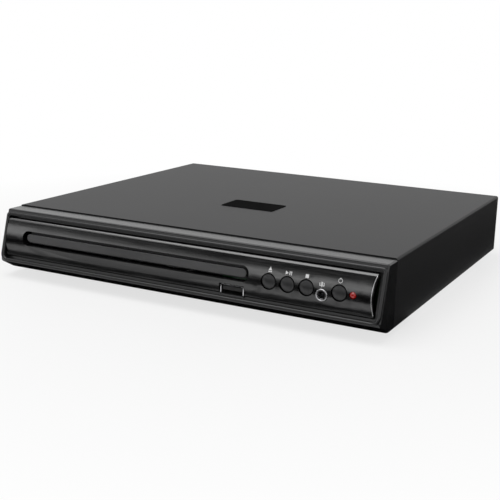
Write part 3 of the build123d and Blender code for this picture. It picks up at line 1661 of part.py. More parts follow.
with BuildPart() as heat_sink:
    with BuildSketch(top_view(sink_low)):
        with Locations((board_middle_x, chip_y)):
            Rectangle(sink_width, sink_width)
    extrude(amount=sink_base)
    with BuildSketch(top_view(sink_low + sink_base)):
        with Locations((board_middle_x, chip_y)):
            with GridLocations((sink_width - sink_fin) / (sink_fins - 1), 1, sink_fins, 1):
                Rectangle(sink_fin, sink_width)
    extrude(amount=sink_height - sink_base)

# Power supply
transformer_x = board_middle_x + 2.0
transformer_y = 52.0
core_width = 26.0
core_depth = 8.0
core_height = 17.0
core_low = board_high + 2.0
bobbin_width = 18.0
bobbin_depth = 22.0
bobbin_height = 14.0
bulk_radius = 6.25
bulk_height = 20.0
output_can_radius = 4.0
output_can_height = 12.0
power_sink_thickness = 2.0
power_sink_length = 20.0
power_sink_height = 16.0

with BuildPart() as power_transformer:
    with BuildSketch(top_view(board_high)):
        with Locations((transformer_x, transformer_y)):
            Rectangle(bobbin_width, bobbin_depth)
    extrude(amount=core_low - board_high)
    with BuildSketch(top_view(core_low)):
        with Locations((transformer_x, transformer_y)):
            Rectangle(core_width, core_depth)
    extrude(amount=core_height)
    with BuildSketch(top_view(core_low)):
        with Locations((transformer_x, transformer_y)):
            RectangleRounded(bobbin_width, bobbin_depth, bend_radius)
    extrude(amount=bobbin_height)

bulk_capacitor = board_cans([(board_middle_x - 16.0, 74.0)], bulk_radius, bulk_height)
output_capacitors = board_cans(
    [(board_middle_x + step, 30.0) for step in (-12.0, 0.0, 12.0)],
    output_can_radius,
    output_can_height,
)
power_heat_sink = board_blocks(
    [(board_middle_x - 20.0, 48.0)],
    power_sink_thickness,
    power_sink_length,
    power_sink_height,
)

# ------------------------------------------------------------ rear sockets
jack_pitch = 14.0
av_jack_xs = [rear_board_left + 8.0 + i * jack_pitch for i in range(3)]
av_jack_z = 20.0
av_block_front = 88.2
av_block_margin = 6.5
av_block_back = panel_in - seat_gap
av_block_high = av_jack_z + 6.5
sleeve_radius = 4.15
sleeve_collar_radius = 5.0
insert_radius = 3.5
centre_hole_radius = 1.6
av_jack_tip = rear_y + socket_reach
insert_tip = av_jack_tip - 0.4
centre_hole_floor = av_block_front + 3.0

with BuildPart() as av_jack_block:
    with BuildSketch(top_view(board_high)):
        span(
            av_jack_xs[0] - av_block_margin,
            av_jack_xs[-1] + av_block_margin,
            av_block_front,
            av_block_back,
        )
    extrude(amount=av_block_high - board_high)
    with BuildSketch(front_view(centre_hole_floor)):
        with Locations(*[(x, av_jack_z) for x in av_jack_xs]):
            Circle(centre_hole_radius)
    extrude(amount=-av_jack_tip, mode=Mode.SUBTRACT)

with BuildPart() as av_jack_sleeves:
    # Collars that fill the panel's holes, then the sleeves the plugs slide over
    with BuildSketch(front_view(av_block_back)):
        with Locations(*[(x, av_jack_z) for x in av_jack_xs]):
            Circle(sleeve_collar_radius)
    extrude(amount=av_block_back - rear_y)
    with BuildSketch(front_view(rear_y)):
        with Locations(*[(x, av_jack_z) for x in av_jack_xs]):
            Circle(sleeve_radius)
    extrude(amount=rear_y - av_jack_tip)
    with BuildSketch(front_view(av_block_back)):
        with Locations(*[(x, av_jack_z) for x in av_jack_xs]):
            Circle(insert_radius + face_gap)
    extrude(amount=av_block_back - av_jack_tip, mode=Mode.SUBTRACT)

with BuildPart() as av_jack_inserts:
    with BuildSketch(front_view(av_block_back)):
        for x in av_jack_xs:
            with Locations((x, av_jack_z)):
                Circle(insert_radius)
                Circle(centre_hole_radius, mode=Mode.SUBTRACT)
    extrude(amount=av_block_back - insert_tip)

video_x = rear_board_left + 60.0
video_width = 15.0
video_height = 6.2
video_shell = 0.5
video_chamfer = 1.6
video_front = 84.5
video_back = panel_out + 0.2
video_tongue_width = 11.6
video_tongue_height = 1.2
video_z = board_high + video_height / 2

with BuildPart() as video_socket:
    with BuildSketch(front_view(video_front)):
        with Locations((video_x, video_z)):
            Rectangle(video_width, video_height)
    extrude(amount=video_front - video_back)
    video_corners = video_socket.edges().filter_by(Axis.Y).group_by(Axis.Z)[0]
    chamfer(video_corners, video_chamfer)
    with BuildSketch(front_view(video_front + 2.0)):
        with Locations((video_x, video_z)):
            Rectangle(video_width - 2 * video_shell, video_height - 2 * video_shell)
    extrude(amount=-video_back, mode=Mode.SUBTRACT)
    with BuildSketch(front_view(video_front + 1.0)):
        with Locations((video_x, video_z)):
            Rectangle(video_tongue_width, video_tongue_height)
    extrude(amount=video_front + 2.0 - video_back)

inlet_x = board_right - 20.5
inlet_width = 22.0
inlet_height = 16.0
inlet_front = 80.5
inlet_back = panel_out + 0.5
inlet_z = board_high + inlet_height / 2
inlet_pin_pitch = 8.6
inlet_lobe_radius = 4.3
inlet_recess = 12.0
inlet_pin_radius = 1.15
inlet_pin_length = 9.5
inlet_pin_root = 3.0
inlet_floor = inlet_back - inlet_recess

with BuildPart() as power_inlet:
    with BuildSketch(front_view(inlet_front)):
        with Locations((inlet_x, inlet_z)):
            RectangleRounded(inlet_width, inlet_height, bend_radius)
    extrude(amount=inlet_front - inlet_back)
    with BuildSketch(front_view(inlet_floor)):
        with Locations((inlet_x, inlet_z)):
            with GridLocations(inlet_pin_pitch, 1, 2, 1):
                Circle(inlet_lobe_radius)
            Rectangle(inlet_pin_pitch, inlet_lobe_radius * 1.7)
    extrude(amount=-inlet_recess, mode=Mode.SUBTRACT)
    with BuildSketch(front_view(inlet_floor)):
        with Locations((inlet_x, inlet_z)):
            with GridLocations(inlet_pin_pitch, 1, 2, 1):
                Circle(inlet_pin_radius + face_gap)
    extrude(amount=inlet_pin_root, mode=Mode.SUBTRACT)

with BuildPart() as inlet_pins:
    with BuildSketch(front_view(inlet_floor - inlet_pin_root + face_gap)):
        with Locations((inlet_x, inlet_z)):
            with GridLocations(inlet_pin_pitch, 1, 2, 1):
                Circle(inlet_pin_radius)
    extrude(amount=-(inlet_pin_length + inlet_pin_root))
    fillet(inlet_pins.faces().sort_by(Axis.Y)[-2:].edges(), inlet_pin_radius / 3)

# ------------------------------------------------------------ rear panel
panel_half = cover_inner_half - seat_gap
panel_high = ceiling_z - seat_gap
panel_foot = 6.0
panel_foot_left = -panel_half + 11.5
panel_foot_right = board_left - 5.5
rear_vent_x = board_left + 5.5
rear_vent_pitch = 4.0
rear_vents = 7

with BuildPart() as rear_panel:
    with BuildSketch(front_view(panel_in)):
        span(-panel_half, panel_half, base_top, panel_high)
        with Locations(*[(x, av_jack_z) for x in av_jack_xs]):
            Circle(sleeve_collar_radius + seat_gap, mode=Mode.SUBTRACT)
        with Locations((video_x, video_z)):
            Rectangle(video_width + 2 * seat_gap, video_height + 2 * seat_gap, mode=Mode.SUBTRACT)
        with Locations((inlet_x, inlet_z)):
            Rectangle(inlet_width + 2 * seat_gap, inlet_height + 2 * seat_gap, mode=Mode.SUBTRACT)
        with Locations(*[(x, cover_screw_z) for x in cover_screw_xs]):
            Circle(screw_hole, mode=Mode.SUBTRACT)
        with Locations((rear_vent_x, av_jack_z)):
            with GridLocations(rear_vent_pitch, 1, rear_vents, 1):
                SlotOverall(vent_length, vent_width, rotation=90, mode=Mode.SUBTRACT)
    extrude(amount=-panel_sheet)
    # Folded foot on the base's floor
    with BuildSketch(top_view(base_top)):
        span(panel_foot_left, panel_foot_right, panel_in - panel_foot, panel_in)
    extrude(amount=panel_sheet)

cover_screw_shank = 7.0

with BuildPart() as cover_screws:
    with BuildSketch(front_view(rear_y)):
        with Locations(*[(x, cover_screw_z) for x in cover_screw_xs]):
            Circle(screw_head)
    extrude(amount=-screw_head_height)
    fillet(cover_screws.faces().sort_by(Axis.Y)[-3:].edges(), screw_head_height / 3)
    with BuildSketch(front_view(rear_y)):
        with Locations(*[(x, cover_screw_z) for x in cover_screw_xs]):
            Circle(screw_shank)
    extrude(amount=cover_screw_shank)
    with BuildSketch(front_view(rear_y + screw_head_height)):
        for x in cover_screw_xs:
            with Locations((x, cover_screw_z)):
                Rectangle(screw_head, screw_head / 5)
                Rectangle(screw_head / 5, screw_head)
    extrude(amount=screw_head_height / 2, mode=Mode.SUBTRACT)

pieces = {
    "top_cover": top_cover,
    "chassis_base": chassis_base,
    "rubber_feet": rubber_feet,
    "badge_plate": badge_plate,
    "front_bezel": front_bezel,
    "fascia_panel": fascia_panel,
    "tact_switches": tact_switches,
    "key_board": key_board,
    "key_board_screws": key_board_screws,
    "power_light": power_light,
    "microphone_jack": microphone_jack,
    "usb_socket": usb_socket,
    "disc_tray": disc_tray,
    "tray_door": tray_door,
    "loader_frame": loader_frame,
    "loader_screws": loader_screws,
    "tray_gear": tray_gear,
    "pulley_gear": pulley_gear,
    "loading_motor": loading_motor,
    "motor_pulley": motor_pulley,
    "drive_belt": drive_belt,
    "cam_slider": cam_slider,
    "clamp_bridge": clamp_bridge,
    "clamp_puck": clamp_puck,
    "clamp_steel_plate": clamp_steel_plate,
    "traverse_frame": traverse_frame,
    "guide_rods": guide_rods,
    "spindle_motor": spindle_motor,
    "turntable": turntable,
    "pickup_sled": pickup_sled,
    "lens_holder": lens_holder,
    "objective_lens": objective_lens,
    "sled_gear": sled_gear,
    "sled_motor": sled_motor,
    "sled_motor_pinion": sled_motor_pinion,
    "main_board": main_board,
    "main_chip": main_chip,
    "memory_chips": memory_chips,
    "ribbon_connectors": ribbon_connectors,
    "board_capacitors": board_capacitors,
    "heat_sink": heat_sink,
    "power_board": power_board,
    "power_transformer": power_transformer,
    "bulk_capacitor": bulk_capacitor,
    "output_capacitors": output_capacitors,
    "power_heat_sink": power_heat_sink,
    "rear_board": rear_board,
    "board_screws": board_screws,
    "av_jack_block": av_jack_block,
    "av_jack_sleeves": av_jack_sleeves,
    "av_jack_inserts": av_jack_inserts,
    "video_socket": video_socket,
    "power_inlet": power_inlet,
    "inlet_pins": inlet_pins,
    "rear_panel": rear_panel,
    "cover_screws": cover_screws,
    **buttons,
}

# ------------------------------------------------------------ all pieces
for name, piece in pieces.items():
    piece.part.label = name
    export_step(piece.part, f"parts/{name}.step")
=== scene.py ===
"""Looks of a small disc player with a motor tray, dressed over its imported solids."""

import json
import logging
import math
from dataclasses import dataclass
from enum import Enum

import bpy
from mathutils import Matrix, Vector

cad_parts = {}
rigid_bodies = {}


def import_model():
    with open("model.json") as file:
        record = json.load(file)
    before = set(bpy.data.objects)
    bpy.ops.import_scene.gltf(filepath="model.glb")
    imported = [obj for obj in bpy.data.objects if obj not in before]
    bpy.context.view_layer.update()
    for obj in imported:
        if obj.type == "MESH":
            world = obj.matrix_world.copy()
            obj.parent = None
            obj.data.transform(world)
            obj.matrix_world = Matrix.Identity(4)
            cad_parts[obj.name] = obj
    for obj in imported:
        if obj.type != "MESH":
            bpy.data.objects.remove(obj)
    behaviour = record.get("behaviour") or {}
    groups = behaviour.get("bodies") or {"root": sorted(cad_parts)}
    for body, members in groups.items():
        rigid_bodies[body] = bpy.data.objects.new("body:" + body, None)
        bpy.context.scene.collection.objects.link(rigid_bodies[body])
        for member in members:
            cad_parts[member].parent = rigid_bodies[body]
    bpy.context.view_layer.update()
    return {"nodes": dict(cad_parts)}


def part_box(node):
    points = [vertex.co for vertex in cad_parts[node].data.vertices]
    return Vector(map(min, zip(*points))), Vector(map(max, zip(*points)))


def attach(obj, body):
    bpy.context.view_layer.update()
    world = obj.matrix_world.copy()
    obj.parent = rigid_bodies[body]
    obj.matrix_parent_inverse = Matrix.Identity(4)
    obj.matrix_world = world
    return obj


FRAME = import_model()
LOG = logging.getLogger("disc_player")

Colour = tuple[float, float, float]
Socket = bpy.types.NodeSocket
MM = 0.001


# ---------------------------------------------------------------- node graphs
class Graph:
    """One material's nodes, wired by short calls."""

    def __init__(self, name: str) -> None:
        """Start a material with one Principled shader.

        Args:
            name: the material's name.
        """
        self.material = bpy.data.materials.new(name)
        self.material.use_nodes = True
        self.nodes = self.material.node_tree.nodes
        self.links = self.material.node_tree.links
        self.shader = self.nodes["Principled BSDF"]
        self.place = self.nodes.new("ShaderNodeTexCoord").outputs["Object"]

    def set(self, socket: str, value: float | Colour) -> None:
        """Set a plain number or colour on the shader.

        Args:
            socket: the shader input's name.
            value: a number, or a colour of three numbers.
        """
        target = self.shader.inputs[socket]
        target.default_value = (*value, 1.0) if isinstance(value, tuple) else value

    def feed(self, socket: str, source: Socket) -> None:
        """Wire a node's output to the shader."""
        self.links.new(source, self.shader.inputs[socket])

    def stretched(self, scale: Colour) -> Socket:
        """Give the object's coordinates, stretched along its axes."""
        mapping = self.nodes.new("ShaderNodeMapping")
        mapping.inputs["Scale"].default_value = scale
        self.links.new(self.place, mapping.inputs["Vector"])
        return mapping.outputs["Vector"]

    def noise(self, scale: float, detail: float = 3.0, place: Socket | None = None) -> Socket:
        """Add a noise pattern.

        Args:
            scale: repeats per metre.
            detail: number of finer layers.
            place: the coordinates, or None for the object's own.

        Returns:
            The pattern's value.
        """
        node = self.nodes.new("ShaderNodeTexNoise")
        node.inputs["Scale"].default_value = scale
        node.inputs["Detail"].default_value = detail
        self.links.new(place or self.place, node.inputs["Vector"])
        return node.outputs["Fac"]

    def cells(self, scale: float, feature: str = "F1") -> Socket:
        """Add a cell pattern and give its distance."""
        node = self.nodes.new("ShaderNodeTexVoronoi")
        node.feature = feature
        node.inputs["Scale"].default_value = scale
        self.links.new(self.place, node.inputs["Vector"])
        return node.outputs["Distance"]

    def spread(
        self, source: Socket, low: float, high: float, start: float = 0.3, end: float = 0.7
    ) -> Socket:
        """Map a pattern from start..end to low..high.

        Args:
            source: the pattern.
            low: the value at start.
            high: the value at end.
            start: the pattern's low end.
            end: the pattern's high end.

        Returns:
            The mapped value.
        """
        node = self.nodes.new("ShaderNodeMapRange")
        node.inputs["From Min"].default_value = start
        node.inputs["From Max"].default_value = end
        node.inputs["To Min"].default_value = low
        node.inputs["To Max"].default_value = high
        self.links.new(source, node.inputs["Value"])
        return node.outputs["Result"]

    def mixed(self, share: Socket, first: Colour, second: Colour) -> Socket:
        """Mix two colours by a pattern.

        Args:
            share: the second colour's share.
            first: the colour at 0.
            second: the colour at 1.

        Returns:
            The mixed colour.
        """
        node = self.nodes.new("ShaderNodeMix")
        node.data_type = "RGBA"
        node.inputs["A"].default_value = (*first, 1.0)
        node.inputs["B"].default_value = (*second, 1.0)
        self.links.new(share, node.inputs["Factor"])
        return node.outputs["Result"]

    def bump(self, height: Socket, depth: float, strength: float = 1.0) -> None:
        """Raise the surface by a pattern.

        Args:
            height: the pattern.
            depth: its height in metres.
            strength: the share of it that shows.
        """
        node = self.nodes.new("ShaderNodeBump")
        node.inputs["Distance"].default_value = depth
        node.inputs["Strength"].default_value = strength
        self.links.new(height, node.inputs["Height"])
        self.links.new(node.outputs["Normal"], self.shader.inputs["Normal"])


def shade(colour: Colour, factor: float) -> Colour:
    """Give a colour made lighter or darker by a factor."""
    return tuple(min(1.0, channel * factor) for channel in colour)


# ---------------------------------------------------------------- finishes
@dataclass(frozen=True)
class Moulded:
    """Moulded plastic: fine grain, a slow drift of colour and faint rubbing."""

    name: str
    colour: Colour
    roughness: float = 0.5
    grain: float = 2200.0
    depth: float = 0.00002
    specular: float = 0.5
    drift: float = 0.18

    def build(self) -> bpy.types.Material:
        """Make the material."""
        graph = Graph(self.name)
        patch = graph.noise(35.0, 4.0)
        rub = graph.noise(420.0, 5.0)
        graph.feed(
            "Base Color",
            graph.mixed(
                graph.spread(patch, 0.0, 1.0),
                shade(self.colour, 1.0 - self.drift),
                shade(self.colour, 1.0 + self.drift),
            ),
        )
        graph.feed("Roughness", graph.spread(rub, self.roughness - 0.05, self.roughness + 0.06))
        graph.set("Specular IOR Level", self.specular)
        graph.bump(graph.noise(self.grain, 2.0), self.depth, 0.35)
        return graph.material


@dataclass(frozen=True)
class PowderCoat:
    """Black sheet steel with a smooth coat: pinpoint orange peel and soft sheen."""

    name: str
    colour: Colour
    roughness: float
    specular: float
    peel: float = 1400.0
    depth: float = 0.000012

    def build(self) -> bpy.types.Material:
        """Make the material."""
        graph = Graph(self.name)
        patch = graph.noise(14.0, 5.0)
        speck = graph.noise(5200.0, 2.0)
        tone = graph.mixed(
            graph.spread(patch, 0.0, 1.0, 0.25, 0.75),
            shade(self.colour, 0.9),
            shade(self.colour, 1.12),
        )
        graph.feed("Base Color", tone)
        graph.feed("Roughness", graph.spread(speck, self.roughness - 0.04, self.roughness + 0.04))
        graph.set("Specular IOR Level", self.specular)
        graph.bump(graph.noise(self.peel, 3.0), self.depth, 0.3)
        return graph.material


@dataclass(frozen=True)
class Polished:
    """Polished plastic with faint hairlines in its gloss."""

    name: str
    colour: Colour
    roughness: float
    specular: float = 0.5

    def build(self) -> bpy.types.Material:
        """Make the material."""
        graph = Graph(self.name)
        haze = graph.noise(60.0, 6.0)
        hair = graph.noise(900.0, 3.0, graph.stretched((0.06, 1.0, 1.0)))
        graph.feed(
            "Base Color",
            graph.mixed(
                graph.spread(haze, 0.0, 1.0),
                shade(self.colour, 0.85),
                shade(self.colour, 1.2),
            ),
        )
        graph.feed("Roughness", graph.spread(hair, self.roughness * 0.8, self.roughness * 1.25))
        graph.set("Specular IOR Level", self.specular)
        graph.bump(graph.noise(180.0, 2.0), 0.000004, 0.2)
        return graph.material


@dataclass(frozen=True)
class SheetMetal:
    """Bare metal with a drawn grain along one axis and a cloudy plating."""

    name: str
    colour: Colour
    roughness: float = 0.35
    stretch: Colour = (0.05, 1.0, 1.0)

    def build(self) -> bpy.types.Material:
        """Make the material."""
        graph = Graph(self.name)
        cloud = graph.noise(90.0, 5.0)
        drawn = graph.noise(1600.0, 3.0, graph.stretched(self.stretch))
        graph.feed(
            "Base Color",
            graph.mixed(
                graph.spread(cloud, 0.0, 1.0),
                shade(self.colour, 0.86),
                shade(self.colour, 1.08),
            ),
        )
        graph.feed("Roughness", graph.spread(drawn, self.roughness - 0.08, self.roughness + 0.1))
        graph.set("Metallic", 1.0)
        graph.bump(drawn, 0.000008, 0.25)
        return graph.material


@dataclass(frozen=True)
class SolderMask:
    """Circuit board: green mask over pale tracks and bare pads."""

    name: str
    colour: Colour
    track: Colour

    def build(self) -> bpy.types.Material:
        """Make the material."""
        graph = Graph(self.name)
        tracks = graph.cells(260.0, "DISTANCE_TO_EDGE")
        line = graph.spread(tracks, 1.0, 0.0, 0.03, 0.05)
        graph.feed("Base Color", graph.mixed(line, self.colour, self.track))
        graph.feed("Roughness", graph.spread(graph.noise(300.0), 0.28, 0.42))
        graph.bump(line, 0.00003, 0.5)
        return graph.material


@dataclass(frozen=True)
class TintedLens:
    """Clear coloured plastic of a light, with a soft glow inside."""

    name: str
    colour: Colour
    glow: Colour
    strength: float

    def build(self) -> bpy.types.Material:
        """Make the material."""
        graph = Graph(self.name)
        swirl = graph.noise(500.0, 2.0)
        graph.feed("Base Color", graph.mixed(swirl, shade(self.colour, 0.7), self.colour))
        graph.feed("Roughness", graph.spread(swirl, 0.08, 0.2))
        graph.set("Coat Weight", 0.6)
        graph.feed("Emission Color", graph.mixed(swirl, shade(self.glow, 0.6), self.glow))
        graph.set("Emission Strength", self.strength)
        return graph.material


@dataclass(frozen=True)
class PrintedInk:
    """Thin pale ink with pinholes."""

    name: str
    colour: Colour

    def build(self) -> bpy.types.Material:
        """Make the material."""
        graph = Graph(self.name)
        pinholes = graph.noise(6000.0, 2.0)
        graph.feed(
            "Base Color",
            graph.mixed(graph.spread(pinholes, 0.0, 1.0), shade(self.colour, 0.85), self.colour),
        )
        graph.feed("Roughness", graph.spread(pinholes, 0.45, 0.6))
        graph.bump(pinholes, 0.000003, 0.2)
        return graph.material


class Palette(Enum):
    """Every finish of the player."""

    COVER = PowderCoat("cover_coat", (0.012, 0.012, 0.0125), 0.45, 0.13)
    BEZEL = PowderCoat("bezel_coat", (0.008, 0.008, 0.0085), 0.26, 0.42)
    FASCIA = Polished("fascia_gloss", (0.002, 0.002, 0.0022), 0.2, 1.0)
    DOOR = Moulded("door_satin", (0.07, 0.07, 0.071), 0.42)
    BADGE = Polished("badge_gloss", (0.01, 0.01, 0.01), 0.3, 0.0)
    KEY = Moulded("key_grain", (0.016, 0.016, 0.017), 0.38, 2600.0, 0.00012)
    FRAME_PLASTIC = Moulded("loader_plastic", (0.03, 0.03, 0.031), 0.55, 1500.0)
    TRAY_PLASTIC = Moulded("tray_plastic", (0.04, 0.04, 0.042), 0.5, 1800.0)
    GREY_PLASTIC = Moulded("grey_plastic", (0.22, 0.22, 0.23), 0.5)
    ACETAL = Moulded("acetal_white", (0.78, 0.77, 0.73), 0.4)
    EPOXY = Moulded("chip_epoxy", (0.018, 0.018, 0.02), 0.6, 3000.0)
    FERRITE = Moulded("ferrite_brown", (0.12, 0.085, 0.06), 0.7, 900.0)
    RUBBER = Moulded("foot_rubber", (0.025, 0.025, 0.025), 0.8, 1100.0, 0.00004, 0.3)
    BELT = Moulded("belt_rubber", (0.02, 0.02, 0.02), 0.75, 1400.0, 0.00002, 0.3)
    SLEEVE = Polished("can_sleeve", (0.02, 0.025, 0.09), 0.25)
    INSERT = Polished("jack_insert", (0.75, 0.5, 0.03), 0.3)
    LENS = Polished("lens_glass", (0.12, 0.18, 0.34), 0.05, 0.8)
    ZINC = SheetMetal("zinc_sheet", (0.56, 0.57, 0.58), 0.4)
    SCREW = SheetMetal("screw_steel", (0.36, 0.36, 0.37), 0.35, (1.0, 1.0, 1.0))
    CHROME = SheetMetal("chrome_plate", (0.6, 0.6, 0.62), 0.28, (1.0, 1.0, 1.0))
    ALUMINIUM = SheetMetal("fin_aluminium", (0.72, 0.73, 0.74), 0.35, (1.0, 0.05, 1.0))
    GOLD = SheetMetal("contact_gold", (0.85, 0.62, 0.24), 0.25, (1.0, 0.1, 1.0))
    BOARD = SolderMask("solder_mask", (0.018, 0.11, 0.035), (0.05, 0.24, 0.08))
    RED_LIGHT = TintedLens("red_light", (0.2, 0.003, 0.003), (1.0, 0.03, 0.02), 0.16)
    INK = PrintedInk("white_ink", (0.85, 0.85, 0.85))
    # painted highlight: bright metal for the bead that stands in for the fascia end's edge
    # highlight
    BRIGHT_EDGE = SheetMetal("painted_highlight_bead", (0.7, 0.7, 0.71), 0.3, (1.0, 1.0, 0.1))
    DARK_CHROME = SheetMetal("dark_chrome", (0.45, 0.45, 0.46), 0.26, (1.0, 1.0, 1.0))
    # black plastic of the USB tongue, and painted shade for the dark sheets in the jack's bore
    # and the USB shell
    LINER = Moulded("black_plastic_and_painted_shade", (0.01, 0.01, 0.01), 0.5, 1500.0)

    @property
    def material(self) -> bpy.types.Material:
        """Give the finish's material, made once."""
        return bpy.data.materials.get(self.value.name) or self.value.build()


# ---------------------------------------------------------------- mesh helpers
def deselect() -> None:
    """Leave no object selected."""
    bpy.ops.object.select_all(action="DESELECT")


def only(obj: bpy.types.Object) -> None:
    """Select one object and make it active."""
    deselect()
    obj.select_set(True)
    bpy.context.view_layer.objects.active = obj


def settle(obj: bpy.types.Object, name: str, finish: Palette, body: str) -> None:
    """Put a finished piece's place into its mesh, dress it and let it ride.

    Args:
        obj: the piece.
        name: its name.
        finish: its finish.
        body: the body that it rides on.
    """
    only(obj)
    bpy.ops.object.transform_apply(location=True, rotation=True, scale=True)
    obj.name = name
    obj.data.name = name
    obj.data.materials.clear()
    obj.data.materials.append(finish.material)
    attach(obj, body)
    LOG.info("piece %s rides on %s", name, body)


def dress(node: str, finish: Palette) -> None:
    """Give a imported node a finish."""
    obj = FRAME["nodes"][node]
    for slot in obj.material_slots:
        slot.material = finish.material


@dataclass
class Dressing:
    """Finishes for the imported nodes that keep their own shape."""

    pairs: tuple[tuple[Palette, tuple[str, ...]], ...] = (
        (Palette.COVER, ("top_cover",)),
        (Palette.BEZEL, ("front_bezel",)),
        (Palette.FASCIA, ("fascia_panel",)),
        (Palette.DOOR, ("tray_door",)),
        (Palette.BADGE, ("badge_plate",)),
        (Palette.KEY, ("eject_button", "play_button", "stop_button", "power_button")),
        (Palette.FRAME_PLASTIC, ("loader_frame", "traverse_frame", "tact_switches", "turntable")),
        (Palette.FRAME_PLASTIC, ("av_jack_block", "power_inlet")),
        (Palette.TRAY_PLASTIC, ("disc_tray",)),
        (Palette.GREY_PLASTIC, ("cam_slider", "pickup_sled")),
        (Palette.ACETAL, ("tray_gear", "pulley_gear", "motor_pulley", "clamp_puck")),
        (Palette.ACETAL, ("sled_gear", "sled_motor_pinion", "ribbon_connectors")),
        (Palette.EPOXY, ("main_chip", "memory_chips", "lens_holder")),
        (Palette.FERRITE, ("power_transformer",)),
        (Palette.RUBBER, ("rubber_feet",)),
        (Palette.BELT, ("drive_belt",)),
        (Palette.SLEEVE, ("board_capacitors", "bulk_capacitor", "output_capacitors")),
        (Palette.INSERT, ("av_jack_inserts",)),
        (Palette.LENS, ("objective_lens",)),
        (Palette.ZINC, ("chassis_base", "rear_panel", "clamp_bridge", "clamp_steel_plate")),
        (Palette.ZINC, ("loading_motor", "spindle_motor", "sled_motor", "video_socket")),
        (Palette.SCREW, ("key_board_screws", "loader_screws", "board_screws", "cover_screws")),
        (Palette.CHROME, ("usb_socket", "guide_rods", "av_jack_sleeves")),
        (Palette.DARK_CHROME, ("microphone_jack",)),
        (Palette.CHROME, ("inlet_pins",)),
        (Palette.ALUMINIUM, ("heat_sink", "power_heat_sink")),
        (Palette.BOARD, ("key_board", "main_board", "power_board", "rear_board")),
        (Palette.RED_LIGHT, ("power_light",)),
    )

    def build(self) -> None:
        """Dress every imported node."""
        for finish, nodes in self.pairs:
            for node in nodes:
                dress(node, finish)
            LOG.info("dressed %s in %s", ", ".join(nodes), finish.value.name)


# ---------------------------------------------------------------- printed marks
class Mark(Enum):
    """The symbols printed on the fascia."""

    EJECT = "eject"
    PLAY_PAUSE = "play_pause"
    STOP = "stop"
    MICROPHONE = "microphone"
    STANDBY = "standby"


class Shape(Enum):
    """The flat shapes that a symbol is put together from."""

    BAR = "bar"
    DISC = "disc"
    RING = "ring"


@dataclass(frozen=True)
class Stroke:
    """One flat shape, placed from its symbol's middle, in millimetres.

    The size is a bar's width and height, a disc's radius and number of corners, or a ring's
    radius and line width.
    """

    shape: Shape
    place: tuple[float, float]
    size: tuple[float, float]
    turn: float = 0.0


STROKES: dict[Mark, tuple[Stroke, ...]] = {
    Mark.EJECT: (
        Stroke(Shape.DISC, (0.0, 0.25), (1.1, 3)),
        Stroke(Shape.BAR, (0.0, -0.85), (1.9, 0.45)),
    ),
    Mark.PLAY_PAUSE: (
        Stroke(Shape.DISC, (-0.9, 0.0), (1.05, 3), math.pi / 2),
        Stroke(Shape.BAR, (0.75, 0.0), (0.45, 1.7)),
        Stroke(Shape.BAR, (1.6, 0.0), (0.45, 1.7)),
    ),
    Mark.STOP: (Stroke(Shape.BAR, (0.0, 0.0), (1.7, 1.7)),),
    Mark.MICROPHONE: (
        Stroke(Shape.DISC, (0.0, 0.6), (0.5, 16)),
        Stroke(Shape.BAR, (0.0, 0.1), (1.0, 1.0)),
        Stroke(Shape.BAR, (-1.1, 0.0), (0.35, 1.2)),
        Stroke(Shape.BAR, (1.1, 0.0), (0.35, 1.2)),
        Stroke(Shape.BAR, (0.0, -0.7), (2.5, 0.35)),
        Stroke(Shape.BAR, (0.0, -1.05), (0.35, 0.5)),
    ),
    Mark.STANDBY: (
        Stroke(Shape.RING, (0.0, 0.0), (1.05, 0.2)),
        Stroke(Shape.BAR, (0.0, 0.95), (0.25, 0.8)),
    ),
}


